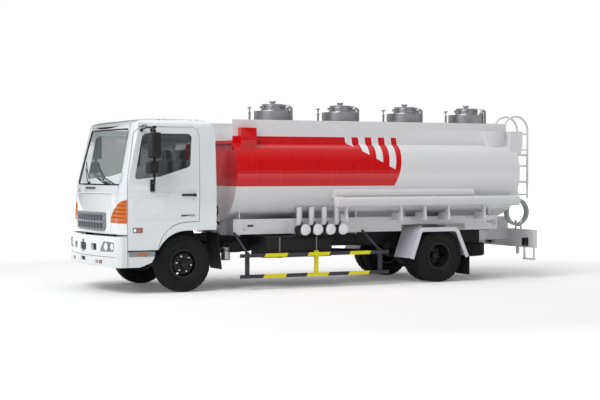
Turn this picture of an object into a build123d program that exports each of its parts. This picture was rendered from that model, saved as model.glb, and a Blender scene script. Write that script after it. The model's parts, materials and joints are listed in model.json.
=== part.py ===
from build123d import *
import os
from math import atan2, cos, degrees, hypot, radians, sin

os.makedirs("parts", exist_ok=True)

# Forward-control tanker truck. X runs forward, Y to the left, Z up, in millimetres.
# The origin is on the ground under the middle of the whole truck.

# ---- driving dimensions ------------------------------------------------------------
front_overhang = 1250      # front axle to the face of the bumper
wheelbase = 4480
rear_overhang = 2010       # rear axle to the back of the ladder
overall_length = front_overhang + wheelbase + rear_overhang
front_axle_x = overall_length / 2 - front_overhang
rear_axle_x = front_axle_x - wheelbase

body_half = 1150           # half width over cab, bumper, guards and rear beam

# tyres and wheels
tyre_radius = 430
tyre_width = 235
tread_half = 98
shoulder_drop = 30
widest_radius = 322        # where the side wall bulges most
bead_radius = 206
bead_half = 78
flange_radius = 226
flange_width = 10
rim_wall = 14
disc_wall = 14
disc_flat_radius = 150
stud_count = 6
stud_circle = 111
nut_radius = 17
nut_height = 24
hand_hole_count = 6
hand_hole_radius = 19
hand_hole_circle = 166
front_track_half = 916     # middle of the front tyre
front_disc_face = 84       # outer face of the disc from the tyre's middle
rear_track_half = 848      # middle of the twin tyres
dual_spacing = 270
hub_radius = 88
front_hub_depth = 130      # disc face to the inner end of the front hub
hub_cap_radius = 66
hub_cap_reach = 44         # hub cap beyond the disc face
spindle_radius = 34
running_fit = 0.05         # radial clearance of a shaft in its bore

# chassis frame
rail_half = 420            # outer face of the rails
rail_height = 215
rail_flange = 75
rail_wall = 9
frame_top = 820
frame_bottom = frame_top - rail_height
frame_front = front_axle_x + 1060
frame_rear = front_axle_x - 5700
crossmember_height = 120
crossmember_length = 60
crossmember_drop = 45      # crossmember top below the frame's top

# axles and suspension
beam_depth = 76
beam_width = 80
beam_drop = 82             # middle of the front beam below the kingpin boss
kingpin_half = 800
kingpin_radius = 20
boss_radius = 36
boss_height = 96
spring_width = 70
front_spring_half = 385
rear_spring_half = 492
leaf_thickness = 14
leaf_count = 5
spring_reach = 640         # half length of the longest leaf
leaf_step = 0.16           # share by which each lower leaf is shorter
axle_tube_radius = 62
axle_tube_half = 640
differential_radius = 190
differential_width = 230

# cab: sections from the sill to above the roof
cab_rear = front_axle_x - 480
cab_wall = 45
firewall_depth = 92        # cab front skin to the inside of the firewall
cab_sections = [
    # height, nose, corner x, corner y, shoulder x, half width
    (600, 1150, 1040, 955, 936, 1150),
    (1120, 1164, 1048, 955, 938, 1150),
    (1500, 1150, 1030, 955, 936, 1150),
    (1640, 1112, 1000, 955, 926, 1146),
    (2480, 900, 812, 905, 738, 1094),
    (2680, 850, 760, 895, 690, 1082),
]
cab_floor = 1000
cab_floor_underside = 950
cab_front_bottom = 890
sill_bottom = 650
arch_radius = 506
arch_top = 940
roof_height = 2606
tunnel_half = 640
step_well_floor = 692
step_well_half = 720
cab_hinge_x = front_axle_x + 1050
cab_hinge_z = 905
cab_pin_radius = 18
cab_pin_clearance = 0.3

# doors
door_front = 930
door_rear = -196
door_gap = 10
door_sill = 655
glass_inset = 12
glass_thickness = 6
glass_gap = 0.5

# tank
tank_front = front_axle_x - 828
tank_length = 5200
tank_rear = tank_front - tank_length
tank_half = 1150
tank_bottom = 985
tank_top = 2440
tank_waist = 1740          # height of the widest point
tank_shoulder = (1010, 2235)
tank_chine = (850, 1190)
tank_corner_radius = 260
tank_dish = 70
dish_rim = 26
skirt_half = 885
skirt_bottom = 845
skirt_thickness = 12
coaming_half = 955
coaming_top = 2622
coaming_bottom = 2347
coaming_thickness = 14

# manholes, counted from the front
manhole_count = 4
manhole_first = 1132       # tank front to the first manhole
manhole_spacing = 1245
collar_radius = 305
collar_top = 2798
neck_radius = 184
neck_top = 2880
lid_radius = 172
lid_thickness = 32
lid_gap = 1.0

front_wheel_y = front_track_half
wheel_z = tyre_radius


def wheel_plane(x, y, side):
    """Plane whose local x points away from the truck and whose local y is the radius."""
    return Plane(origin=(x, y, wheel_z), x_dir=(0, side, 0), z_dir=(side, 0, 0))


def wheel_axis(x):
    return Axis((x, 0, wheel_z), (0, 1, 0))


def tyre_face(plane):
    """Section of a tyre: tread, shoulders, side walls in straight runs, and beads."""
    shoulder = tyre_radius - shoulder_drop
    half = tyre_width / 2
    right = [(tread_half, tyre_radius), (tread_half + 12, shoulder), (half, widest_radius),
             (half - 16, flange_radius + 28), (bead_half, flange_radius), (bead_half, bead_radius)]
    with BuildSketch(plane) as face:
        with BuildLine():
            Polyline(*right, *[(-across, radius) for across, radius in reversed(right)], close=True)
        make_face()
    return face.sketch


def rim_face(plane, disc_face):
    """Half section of a disc wheel; disc_face is where its outer flat lies."""
    lip = bead_half + flange_width
    inner = bead_radius - rim_wall
    start = disc_face * 0.35
    with BuildSketch(plane) as face:
        with BuildLine():
            Polyline((-lip, inner), (-lip, flange_radius), (-bead_half, flange_radius),
                     (-bead_half, bead_radius), (bead_half, bead_radius), (bead_half, flange_radius),
                     (lip, flange_radius), (lip, inner), close=True)
        make_face()
        with BuildLine():
            Polyline((start, inner + 1), (disc_face, disc_flat_radius), (disc_face, hub_radius - 1),
                     (disc_face - disc_wall, hub_radius - 1), (disc_face - disc_wall, disc_flat_radius - 6),
                     (start - 2 * disc_wall, inner + 1), close=True)
        make_face()
    return face.sketch


def cab_volume(side, front, floor, roof):
    """The cab's outer form moved inwards: side and front are insets, floor and roof heights."""
    with BuildPart() as volume:
        for height, nose, corner_x, corner_y, shoulder_x, half in cab_sections:
            nx, cx, sx = (front_axle_x + v - front for v in (nose, corner_x, shoulder_x))
            cy, hy = corner_y - side, half - side
            mx, my = sx + 0.72 * (cx - sx), cy + 0.72 * (hy - cy)
            rear = cab_rear + side
            with BuildSketch(Plane.XY.offset(height)):
                with BuildLine():
                    ThreePointArc((cx, cy), (nx, 0), (cx, -cy))
                    ThreePointArc((cx, -cy), (mx, -my), (sx, -hy))
                    Polyline((sx, -hy), (rear, -hy), (rear, hy), (sx, hy))
                    ThreePointArc((sx, hy), (mx, my), (cx, cy))
                make_face()
        loft(ruled=True)
        drop = roof_height - roof
        with BuildSketch(Plane.XZ):
            with BuildLine():
                x = front_axle_x
                ThreePointArc((x + 1000, 2366 - drop), (x + 760, 2556 - drop), (x + 420, roof))
                Line((x + 420, roof), (cab_rear + side + 210, roof))
                TangentArc((cab_rear + side + 210, roof), (cab_rear + side, roof - 190),
                           tangent=(-1, 0))
                Polyline((cab_rear + side, roof - 190), (cab_rear + side, floor), (x + 1400, floor),
                         (x + 1400, 2366 - drop), (x + 1000, 2366 - drop))
            make_face()
        extrude(amount=2 * body_half, both=True, mode=Mode.INTERSECT)
        half = body_half - side
        edge = 150
        with BuildSketch(Plane.YZ):
            with BuildLine():
                top = half - 62
                Polyline((half + 30, floor), (half + 30, roof - 500), (top, roof - edge))
                ThreePointArc((top, roof - edge), (top - 46, roof - 40), (top - edge, roof))
                Line((top - edge, roof), (-top + edge, roof))
                ThreePointArc((-top + edge, roof), (-top + 46, roof - 40), (-top, roof - edge))
                Polyline((-top, roof - edge), (-half - 30, roof - 500), (-half - 30, floor), (half + 30, floor))
            make_face()
        extrude(amount=2 * overall_length, both=True, mode=Mode.INTERSECT)
    return volume.part


def side_prism(outline, side, y_low, y_high):
    """Prism of an X-Z outline between two distances from the middle plane, on one side."""
    with BuildPart() as prism:
        extrude(outline.moved(Location((0, side * y_low, 0))), amount=y_high - y_low, dir=(0, side, 0))
    return prism.part


def outline_xz(points, arc=None, radius=0, grow=0):
    """Closed X-Z outline, x counted from the front axle; arc bends its last run through that point."""
    with BuildSketch(Plane.XZ) as outline:
        with BuildLine():
            world = [(front_axle_x + px, pz) for px, pz in points]
            if arc is None:
                Polyline(*world, close=True)
            else:
                via = (front_axle_x + arc[0], arc[1])
                Polyline(*world)
                ThreePointArc(world[-1], via, world[0])
        make_face()
        if radius:
            fillet(outline.vertices(), radius)
        if grow:
            offset(amount=grow)
    return outline.sketch


def front_prism(points, x_low, x_high, radius=0):
    """Prism along X of a Y-Z outline."""
    with BuildPart() as prism:
        with BuildSketch(Plane.YZ.offset(x_low)) as face:
            with BuildLine():
                Polyline(*points, close=True)
            make_face()
            if radius:
                fillet(face.vertices(), radius)
        extrude(amount=x_high - x_low)
    return prism.part


def plain_box(x, y, z):
    """Box between pairs of limits."""
    with BuildPart() as block:
        with BuildSketch(Plane.XY.offset(z[0])):
            with Locations(((x[0] + x[1]) / 2, (y[0] + y[1]) / 2)):
                Rectangle(x[1] - x[0], abs(y[1] - y[0]))
        extrude(amount=z[1] - z[0])
    return block.part


def rod(start, end, radius):
    """Round bar between two points."""
    way = Vector(*end) - Vector(*start)
    with BuildPart() as bar:
        with BuildSketch(Plane(origin=start, z_dir=way.normalized())):
            Circle(radius)
        extrude(amount=way.length)
    return bar.part


def keep(name, label):
    name.part.label = label
    export_step(name.part, "parts/" + label + ".step")


sides = [("left", 1), ("right", -1)]

# ---- wheels ------------------------------------------------------------------------
for word, side in sides:
    plane = wheel_plane(front_axle_x, side * front_track_half, side)
    with BuildPart() as front_tyre:
        add(tyre_face(plane))
        revolve(axis=wheel_axis(front_axle_x))
    keep(front_tyre, "front_tyre_" + word)

    with BuildPart() as front_wheel:
        add(rim_face(plane, front_disc_face))
        revolve(axis=wheel_axis(front_axle_x))
        outer = Plane(origin=(front_axle_x, side * (front_track_half + front_disc_face), wheel_z),
                      z_dir=(0, side, 0))
        with BuildSketch(outer):
            with PolarLocations(hand_hole_circle, hand_hole_count, start_angle=30):
                Circle(hand_hole_radius)
        extrude(amount=-2 * front_disc_face, mode=Mode.SUBTRACT)
        with BuildSketch(outer.offset(-front_hub_depth)):
            Circle(hub_radius)
        extrude(amount=front_hub_depth)
        with BuildSketch(outer.offset(-disc_wall - 70)):
            Circle(disc_flat_radius)
        extrude(amount=70)
        with BuildSketch(outer):
            Circle(hub_cap_radius)
        extrude(amount=hub_cap_reach, taper=14)
        with BuildSketch(outer):
            with PolarLocations(stud_circle, stud_count):
                RegularPolygon(nut_radius, 6)
        extrude(amount=nut_height)
        with BuildSketch(outer.offset(-front_hub_depth)):
            Circle(spindle_radius + running_fit)
        extrude(amount=front_hub_depth - disc_wall, mode=Mode.SUBTRACT)
    keep(front_wheel, "front_wheel_" + word)

    twin = wheel_plane(rear_axle_x, side * rear_track_half, side)
    with BuildPart() as rear_tyres:
        for shift in (dual_spacing / 2, -dual_spacing / 2):
            add(tyre_face(wheel_plane(rear_axle_x, side * (rear_track_half + shift), side)))
        revolve(axis=wheel_axis(rear_axle_x))
    keep(rear_tyres, "rear_tyres_" + word)

    with BuildPart() as rear_wheels:
        for shift, turn in ((dual_spacing / 2, -1), (-dual_spacing / 2, 1)):
            centre = wheel_plane(rear_axle_x, side * (rear_track_half + shift), side * turn)
            add(rim_face(centre, dual_spacing / 2))
        revolve(axis=wheel_axis(rear_axle_x))
        mid = Plane(origin=(rear_axle_x, side * rear_track_half, wheel_z), z_dir=(0, side, 0))
        with BuildSketch(mid.offset(dual_spacing / 2)):
            with PolarLocations(hand_hole_circle, hand_hole_count, start_angle=30):
                Circle(hand_hole_radius)
        extrude(amount=-dual_spacing, mode=Mode.SUBTRACT)
        with BuildSketch(mid.offset(-150)):
            Circle(hub_radius)
        extrude(amount=210)
        with BuildSketch(mid.offset(60)):
            Circle(hub_cap_radius)
        extrude(amount=hub_cap_reach, taper=14)
        with BuildSketch(mid.offset(disc_wall)):
            with PolarLocations(stud_circle, stud_count):
                RegularPolygon(nut_radius, 6)
        extrude(amount=nut_height)
        with BuildSketch(mid.offset(-150)):
            Circle(spindle_radius + running_fit)
        extrude(amount=180, mode=Mode.SUBTRACT)
    keep(rear_wheels, "rear_wheels_" + word)

    # ---- steering knuckle: fork, kingpin and spindle
    pin_y = side * kingpin_half
    with BuildPart() as knuckle:
        for low, high in ((-boss_height / 2 - 45, -boss_height / 2 - 2), (boss_height / 2 + 2, boss_height / 2 + 45)):
            with BuildSketch(Plane.XY.offset(wheel_z + low)):
                with Locations((front_axle_x, pin_y)):
                    Circle(boss_radius)
                with Locations((front_axle_x, pin_y + side * 30)):
                    Rectangle(2 * boss_radius, 60)
            extrude(amount=high - low)
        plate_inner = side * (kingpin_half + boss_radius + 8)
        plate_outer = side * (kingpin_half + boss_radius + 28)
        with BuildSketch(Plane(origin=(front_axle_x, plate_inner, wheel_z), z_dir=(0, side, 0))):
            RectangleRounded(130, boss_height + 90, 14)
        extrude(amount=abs(plate_outer - plate_inner))
        with BuildSketch(Plane.XY.offset(wheel_z - boss_height / 2 - 10)):
            with Locations((front_axle_x, pin_y)):
                Circle(kingpin_radius)
        extrude(amount=boss_height + 20)
        with BuildSketch(Plane(origin=(front_axle_x, plate_inner, wheel_z), z_dir=(0, side, 0))):
            Circle(spindle_radius)
        extrude(amount=front_track_half + front_disc_face - disc_wall - 30 - abs(plate_inner))
    keep(knuckle, "knuckle_" + word)

# ---- front axle beam ---------------------------------------------------------------
with BuildPart() as front_axle:
    low_z = wheel_z - beam_drop
    half = beam_depth / 2
    seat = front_spring_half + 90
    for side in (1, -1):
        with BuildSketch(Plane.YZ.offset(front_axle_x - beam_width / 2)):
            with BuildLine():
                Polyline((0, low_z - half), (side * seat, low_z - half),
                         (side * (kingpin_half - 20), wheel_z - half),
                         (side * (kingpin_half - 20), wheel_z + half),
                         (side * (seat + 30), low_z + half), (0, low_z + half), close=True)
            make_face()
        extrude(amount=beam_width)
        with BuildSketch(Plane.XY.offset(wheel_z - boss_height / 2)):
            with Locations((front_axle_x, side * kingpin_half)):
                Circle(boss_radius)
        extrude(amount=boss_height)
        with BuildSketch(Plane.XY.offset(wheel_z - boss_height)):
            with Locations((front_axle_x, side * kingpin_half)):
                Circle(kingpin_radius + running_fit)
        extrude(amount=2 * boss_height, mode=Mode.SUBTRACT)
keep(front_axle, "front_axle")

# ---- rear axle ---------------------------------------------------------------------
with BuildPart() as rear_axle:
    with BuildSketch(Plane.XZ.offset(-axle_tube_half)):
        with Locations((rear_axle_x, wheel_z)):
            Circle(axle_tube_radius)
    extrude(amount=2 * axle_tube_half)
    with BuildSketch(Plane.XZ.offset(-rear_track_half - 20)):
        with Locations((rear_axle_x, wheel_z)):
            Circle(spindle_radius)
    extrude(amount=2 * rear_track_half + 40)
    with BuildSketch(Plane.XZ.offset(-differential_width / 2)):
        with Locations((rear_axle_x, wheel_z)):
            Circle(differential_radius)
    extrude(amount=differential_width)
    with BuildSketch(Plane.YZ.offset(rear_axle_x + differential_radius - 30)):
        with Locations((0, wheel_z + 10)):
            Circle(95)
    extrude(amount=110, taper=14)
keep(rear_axle, "rear_axle")


def leaf_pack(axle_x, middle_y, seat_z, eye_z):
    """Stack of leaves from the eyes down to the axle seat; each lower leaf is shorter."""
    top = seat_z + leaf_count * leaf_thickness
    rise = eye_z - top

    def camber(reach):
        return top + rise * (reach / spring_reach) ** 2

    steps = []
    for row in range(leaf_count):
        reach = spring_reach * (1 - leaf_step * row)
        steps += [(reach, camber(reach) - row * leaf_thickness), (reach, camber(reach) - (row + 1) * leaf_thickness)]
    left = [(axle_x - reach, z) for reach, z in steps]
    right = [(axle_x + reach, z) for reach, z in reversed(steps)]
    with BuildPart() as pack:
        with BuildSketch(Plane.XZ.offset(-middle_y - spring_width / 2)):
            with BuildLine():
                Polyline(*left, *right)
                ThreePointArc(right[-1], (axle_x, top), left[0])
            make_face()
        extrude(amount=spring_width)
    return pack.part


with BuildPart() as springs:
    eye_z = frame_bottom - 40
    for side in (1, -1):
        add(leaf_pack(front_axle_x, side * front_spring_half, wheel_z - beam_drop + beam_depth / 2, eye_z))
        add(leaf_pack(rear_axle_x, side * rear_spring_half, wheel_z + axle_tube_radius + 8, eye_z + 20))
        for axle_x in (front_axle_x, rear_axle_x):
            rear = axle_x == rear_axle_x
            middle = rear_spring_half if rear else front_spring_half
            for end in (1, -1):
                low = eye_z - 20
                x0 = axle_x + end * spring_reach
                top = frame_bottom + 60 if rear else frame_bottom
                inner = rail_half if rear else middle - spring_width / 2 - 8
                outer = middle + spring_width / 2 + 8
                add(plain_box((x0 - 45, x0 + 45), sorted((side * inner, side * outer)), (low, top)))
        add(plain_box((rear_axle_x - 60, rear_axle_x + 60),
                      sorted((side * (rear_spring_half - 45), side * (rear_spring_half + 45))),
                      (wheel_z + 40, wheel_z + axle_tube_radius + 20)))
    add(rear_axle.part, mode=Mode.SUBTRACT)
keep(springs, "leaf_springs")

# ---- ladder frame ------------------------------------------------------------------
crossmembers = [920, -1270, -2150, -3050, -3900, -4760, -5570]   # ahead of the front axle
with BuildPart() as frame:
    for side in (1, -1):
        outer, inner = side * rail_half, side * (rail_half - rail_flange)
        web = side * (rail_half - rail_wall)
        with BuildSketch(Plane.YZ.offset(frame_rear)):
            with BuildLine():
                Polyline((outer, frame_bottom), (outer, frame_top), (inner, frame_top),
                         (inner, frame_top - rail_wall), (web, frame_top - rail_wall),
                         (web, frame_bottom + rail_wall), (inner, frame_bottom + rail_wall),
                         (inner, frame_bottom), close=True)
            make_face()
        extrude(amount=frame_front - frame_rear)
    for ahead in crossmembers:
        with BuildSketch(Plane.XY.offset(frame_top - crossmember_drop - crossmember_height)):
            with Locations((front_axle_x + ahead, 0)):
                Rectangle(crossmember_length, 2 * rail_half - 2 * rail_wall)
        extrude(amount=crossmember_height)

# ---- engine with gearbox, and propeller shaft ----------------------------------------
gearbox_rear = front_axle_x - 1060
gearbox_z = 610
with BuildPart() as engine:
    with BuildSketch(Plane.YZ.offset(front_axle_x - 460)) as block:
        with Locations((0, 745)):
            Rectangle(600, 350)
        chamfer(block.vertices(), 70)
    extrude(amount=1060)
    with BuildSketch(Plane.YZ.offset(gearbox_rear)):
        with Locations((0, gearbox_z)):
            Circle(95)
    with BuildSketch(Plane.YZ.offset(front_axle_x - 460)):
        with Locations((0, gearbox_z + 50)):
            Circle(190)
    loft()
keep(engine, "engine")

with BuildPart() as shaft:
    nose = (gearbox_rear, 0, gearbox_z)
    tail = (rear_axle_x + differential_radius + 80, 0, wheel_z + 10)
    add(rod(nose, tail, 42))
    for near, far in ((nose, tail), (tail, nose)):
        way = (Vector(*far) - Vector(*near)).normalized()
        add(rod(near, tuple(Vector(*near) + way * 90), 72))
    add(rear_axle.part, mode=Mode.SUBTRACT)
    add(engine.part, mode=Mode.SUBTRACT)
keep(shaft, "propeller_shaft")

# ---- tank ----------------------------------------------------------------------------


def tank_face(plane, inset):
    """Maxi-section of the tank: crowned top and bottom, bowed sides, rounded corners."""
    sy, sz = tank_shoulder
    cy, cz = tank_chine
    top, bottom, half = tank_top - inset, tank_bottom + inset, tank_half - inset
    sy, sz, cy, cz = sy - inset * 0.8, sz - inset * 0.6, cy - inset * 0.8, cz + inset * 0.6
    with BuildSketch(plane) as face:
        with BuildLine():
            ThreePointArc((-sy, sz), (0, top), (sy, sz))
            ThreePointArc((sy, sz), (half, tank_waist), (cy, cz))
            ThreePointArc((cy, cz), (0, bottom), (-cy, cz))
            ThreePointArc((-cy, cz), (-half, tank_waist), (-sy, sz))
        make_face()
        fillet(face.vertices(), tank_corner_radius - inset)
    return face.sketch


with BuildPart() as tank:
    extrude(tank_face(Plane.YZ.offset(tank_rear), 0), amount=tank_length)
    for end, way in ((tank_front, -1), (tank_rear, 1)):
        extrude(tank_face(Plane.YZ.offset(end), dish_rim), amount=way * tank_dish, mode=Mode.SUBTRACT)
tank_solid = tank.part
keep(tank, "tank_shell")

# ---- subframe and skirts under the tank ------------------------------------------------
saddle_stations = [150, 1195, 2200, 3100, 3900, 4760]      # tank front to each saddle
saddle_thickness = 14
subframe_rear = front_axle_x - 6300
beam_low = 520
beam_top = 829
beam_depth_x = 90
subframe_low = 640
wheel_zone = 610           # half length kept clear over the rear wheels
wheel_zone_top = 950
joint_gap = 0.5            # between members that butt against each other
skirt_top = 1080
saddle_top = tank_chine[1] + 60
bearer_top = tank_bottom + 55
with BuildPart() as subframe:
    for side in (1, -1):
        plate = sorted((side * skirt_half, side * (skirt_half + skirt_thickness)))
        add(plain_box((tank_rear + 280, tank_front - 40), plate, (skirt_bottom, skirt_top)))
    bearer_inner = rail_half - rail_flange
    bays = [(-bearer_inner + joint_gap, bearer_inner - joint_gap), (rail_half + joint_gap, skirt_half - joint_gap),
            (-skirt_half + joint_gap, -rail_half - joint_gap)]
    for station in saddle_stations:
        x = tank_front - station
        for bay in bays:
            add(plain_box((x - saddle_thickness / 2, x + saddle_thickness / 2), bay, (frame_top, saddle_top)))
    add(plain_box((rear_axle_x - wheel_zone, rear_axle_x + wheel_zone), (-body_half, body_half),
                  (frame_top - 10, wheel_zone_top)), mode=Mode.SUBTRACT)
    for side in (1, -1):
        limits = sorted((side * rail_half, side * bearer_inner))
        add(plain_box((subframe_rear, tank_front - 40), limits, (frame_top, bearer_top)))
        add(plain_box((subframe_rear, frame_rear - 1), limits, (subframe_low, frame_top - joint_gap)))
    for side in (1, -1):
        for ahead in (tank_front - 330, tank_rear + 430):
            with BuildSketch(Plane.XZ.offset(-side * (skirt_half - 20))):
                with Locations((ahead, skirt_bottom + 130)):
                    SlotOverall(110, 40)
            extrude(amount=-side * 60, mode=Mode.SUBTRACT)
    add(tank_solid, mode=Mode.SUBTRACT)
keep(subframe, "tank_subframe")

# ---- walkway coaming on the tank's top -------------------------------------------------
coaming_front = tank_front
coaming_rear = tank_rear + 147      # open at the rear, where the ladder comes up
corner_box_half = 1090
corner_boxes = [
    # front end, length
    (coaming_front - 90, 258),
    (coaming_rear + 6, 250),
]
box_shelf, box_knee, box_foot = 2492, 2300, 2094
fairing_front, fairing_rear = coaming_rear + 540, coaming_rear
fairing_top, fairing_foot = 2490, 2110
fairing_bulge, fairing_tip = 120, 16
with BuildPart() as coaming:
    for side in (1, -1):
        board = sorted((side * coaming_half, side * (coaming_half - coaming_thickness)))
        add(plain_box((coaming_rear, coaming_front), board, (2150, coaming_top)))
        foot = sorted((side * (coaming_half - 90), side * coaming_half))
        add(plain_box((coaming_rear, coaming_front), foot, (coaming_bottom - 12, coaming_bottom)))
        box_outer = corner_box_half
        face = [(box_outer, box_shelf), (box_outer, box_knee), (box_outer - 50, box_foot), (900, box_foot),
                (900, box_shelf)]
        for start, length in corner_boxes:
            with BuildSketch(Plane.YZ.offset(start - length)):
                with BuildLine():
                    Polyline(*[(side * py, pz) for py, pz in face], close=True)
                make_face()
            extrude(amount=length)
        # half cone that closes the boards' rear corner down to the tank
        board_y = side * (coaming_half - 4)
        for height, bulge, inset in ((fairing_top, fairing_bulge, 0), (fairing_foot, fairing_tip, 200)):
            front_end, rear_end = (fairing_front - inset, board_y), (fairing_rear + inset * 0.4, board_y)
            crown = ((front_end[0] + rear_end[0]) / 2, board_y + side * bulge)
            with BuildSketch(Plane.XY.offset(height)):
                with BuildLine():
                    Line(front_end, rear_end)
                    ThreePointArc(rear_end, crown, front_end)
                make_face()
        loft(ruled=True)
    front_board = (coaming_front - coaming_thickness, coaming_front)
    add(plain_box(front_board, (-coaming_half, coaming_half), (2250, coaming_top - 120)))
    add(tank_solid, mode=Mode.SUBTRACT)
keep(coaming, "top_coaming")

# ---- manholes ----------------------------------------------------------------------------
manhole_x = [tank_front - manhole_first - i * manhole_spacing for i in range(manhole_count)]
collar_wall = 6
lid_hinge_x = neck_radius + 31     # behind the manhole's middle
lid_bottom = neck_top + lid_gap
with BuildPart() as collars:
    for x in manhole_x:
        with BuildSketch(Plane.XY.offset(tank_top - 60)):
            with Locations((x, 0)):
                Circle(collar_radius)
        extrude(amount=collar_top - tank_top + 60)
        with BuildSketch(Plane.XY.offset(collar_top)):
            with Locations((x, 0)):
                Circle(neck_radius)
        extrude(amount=neck_top - collar_top)
        add(plain_box((x - lid_hinge_x - 20, x - lid_hinge_x + 34), (-16, 16), (collar_top, lid_bottom + 32)))
        with BuildSketch(Plane.XZ.offset(-60)):
            with Locations((x - lid_hinge_x, lid_bottom + 16)):
                Circle(9 + 0.3)
        extrude(amount=120, mode=Mode.SUBTRACT)
    add(tank_solid, mode=Mode.SUBTRACT)
keep(collars, "manhole_collars")

for number, x in enumerate(manhole_x, 1):
    with BuildPart() as lid:
        with BuildSketch(Plane.XY.offset(lid_bottom)):
            with Locations((x, 0)):
                Circle(lid_radius)
        extrude(amount=lid_thickness)
        with BuildSketch(Plane.XY.offset(lid_bottom + lid_thickness)):
            with Locations((x, 0)):
                Circle(34)
        extrude(amount=22)
        with BuildSketch(Plane.XY.offset(lid_bottom + lid_thickness + 22)):
            with Locations((x, 0)):
                Circle(52)
        extrude(amount=28)
        for side in (1, -1):
            ear = sorted((side * 22, side * 36))
            add(plain_box((x - lid_hinge_x - 16, x - 150), ear, (lid_bottom + 2, lid_bottom + 30)))
        with BuildSketch(Plane.XZ.offset(-36)):
            with Locations((x - lid_hinge_x, lid_bottom + 16)):
                Circle(9)
        extrude(amount=72)
    keep(lid, "manhole_lid_" + str(number))

# ---- vents and dip pipes beside each manhole ------------------------------------------------
dip_ahead = 412
vent_behind = 342
last_vent_aside = 238      # the last vent stands beside its collar, clear of the tank's end
pipe_radius = 24
with BuildPart() as vents:
    for x in manhole_x:
        last = x - vent_behind - pipe_radius < tank_rear
        vent_x, vent_y = (x - last_vent_aside, last_vent_aside) if last else (x - vent_behind, 0)
        across = (vent_y - pipe_radius, vent_y + pipe_radius)
        with BuildSketch(Plane.XY.offset(tank_top - 60)):
            with Locations((x + dip_ahead, 0), (vent_x, vent_y)):
                Circle(pipe_radius)
        extrude(amount=2840 - tank_top + 60)
        with BuildSketch(Plane.XZ.offset(-54)):
            with Locations((x + dip_ahead, 2850)):
                Circle(18)
        extrude(amount=108)
        add(plain_box((vent_x - pipe_radius, vent_x + 100), across, (2835, 2872)))
        add(plain_box((vent_x + 60, vent_x + 100), across, (2812, 2836)))
    add(tank_solid, mode=Mode.SUBTRACT)
keep(vents, "vent_pipes")

# ---- hose tubes along the left side ------------------------------------------------------
tube_y, tube_z, tube_radius = 1196, 1338, 80
rail_tube_y, rail_tube_z, rail_tube_radius = 1098, 1470, 76
tube_front = front_axle_x - 2500
tube_rear = front_axle_x - 5953
with BuildPart() as tubes:
    for x0, x1, r in ((tube_rear, tube_front, tube_radius), (tube_front - 110, tube_front, tube_radius + 7),
                      (tube_rear, tube_rear + 110, tube_radius + 7)):
        with BuildSketch(Plane.YZ.offset(x0)):
            with Locations((tube_y, tube_z)):
                Circle(r)
        extrude(amount=x1 - x0)
    for ahead in (-2700, -3700, -4150, -4600, -5300):
        x = front_axle_x + ahead
        add(plain_box((x - 20, x + 20), (skirt_half + skirt_thickness, tube_y), (skirt_top - 50, 1150)))
        add(plain_box((x - 20, x + 20), (tube_y - 70, tube_y - 10), (1090, tube_z - 40)))
    with BuildSketch(Plane.YZ.offset(front_axle_x - 5100)):
        with Locations((rail_tube_y, rail_tube_z)):
            Circle(rail_tube_radius)
    extrude(amount=2600)
    add(subframe.part, mode=Mode.SUBTRACT)
    add(tank_solid, mode=Mode.SUBTRACT)
keep(tubes, "hose_tubes")

# ---- outlets -------------------------------------------------------------------------------
outlet_places = [-1965, -2183, -2408, -2634]      # ahead of the front axle
outlet_z = 912
outlet_face = 1205
cap_radius, cap_depth = 84, 26
valve_ahead = 74           # the lever valve's body stands this far ahead of each cap
hose_y, hose_start_x, hose_start_z = 580, front_axle_x - 6200, 1360
hose_radius = 22.5
with BuildPart() as outlets:
    for ahead in outlet_places:
        x = front_axle_x + ahead
        pipe_y = skirt_half + skirt_thickness + 75
        with BuildSketch(Plane.XY.offset(outlet_z)):
            with Locations((x, pipe_y)):
                Circle(45)
        extrude(amount=1260 - outlet_z)
        with BuildSketch(Plane.XZ.offset(-(pipe_y - 60))):
            with Locations((x, outlet_z)):
                Circle(52)
        extrude(amount=-(outlet_face - 50 - pipe_y + 60))
        with BuildSketch(Plane.XZ.offset(-(outlet_face - 50))):
            with Locations((x, outlet_z)):
                Circle(70)
        extrude(amount=-50)
        with BuildSketch(Plane.XZ.offset(-(outlet_face - cap_depth))):
            with Locations((x, outlet_z)):
                Circle(cap_radius)
        extrude(amount=-cap_depth)
        lever_y = (outlet_face - 96, outlet_face - 68)
        add(plain_box((x + 30, x + valve_ahead), lever_y, (outlet_z - 60, outlet_z - 20)))
        add(rod((x + valve_ahead, outlet_face - 82, outlet_z - 56), (x + 54, outlet_face - 82, outlet_z + 84), 11))
    with BuildSketch(Plane.YZ.offset(hose_start_x)):
        with Locations((hose_y, hose_start_z)):
            Circle(hose_radius + 6)
    extrude(amount=tank_rear + tank_dish - 4 - hose_start_x)
    valve_x = front_axle_x - 6100
    add(plain_box((valve_x - 34, valve_x + 34), (hose_y - 36, hose_y + 36), (hose_start_z - 34, hose_start_z + 34)))
    add(rod((valve_x, hose_y, hose_start_z + 30), (valve_x, hose_y, hose_start_z + 62), 8))
    add(plain_box((valve_x - 14, valve_x + 96), (hose_y - 12, hose_y + 12), (hose_start_z + 56, hose_start_z + 68)))
    add(tank_solid, mode=Mode.SUBTRACT)
keep(outlets, "outlets")

# ---- hose coil hung on the rear beam's hanger ----------------------------------------------------
coil_x, coil_z = front_axle_x - 6272, 1125
coil_radius = 215          # of the turns' middle
coil_turns = 3
coil_near = hose_y + 40
coil_width = coil_turns * 2 * hose_radius
with BuildPart() as coil:
    with BuildSketch(Plane.XZ.offset(-coil_near)):
        with Locations((coil_x, coil_z)):
            Circle(coil_radius + hose_radius)
            Circle(coil_radius - hose_radius, mode=Mode.SUBTRACT)
    extrude(amount=-coil_width)
keep(coil, "hose_coil")

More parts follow.
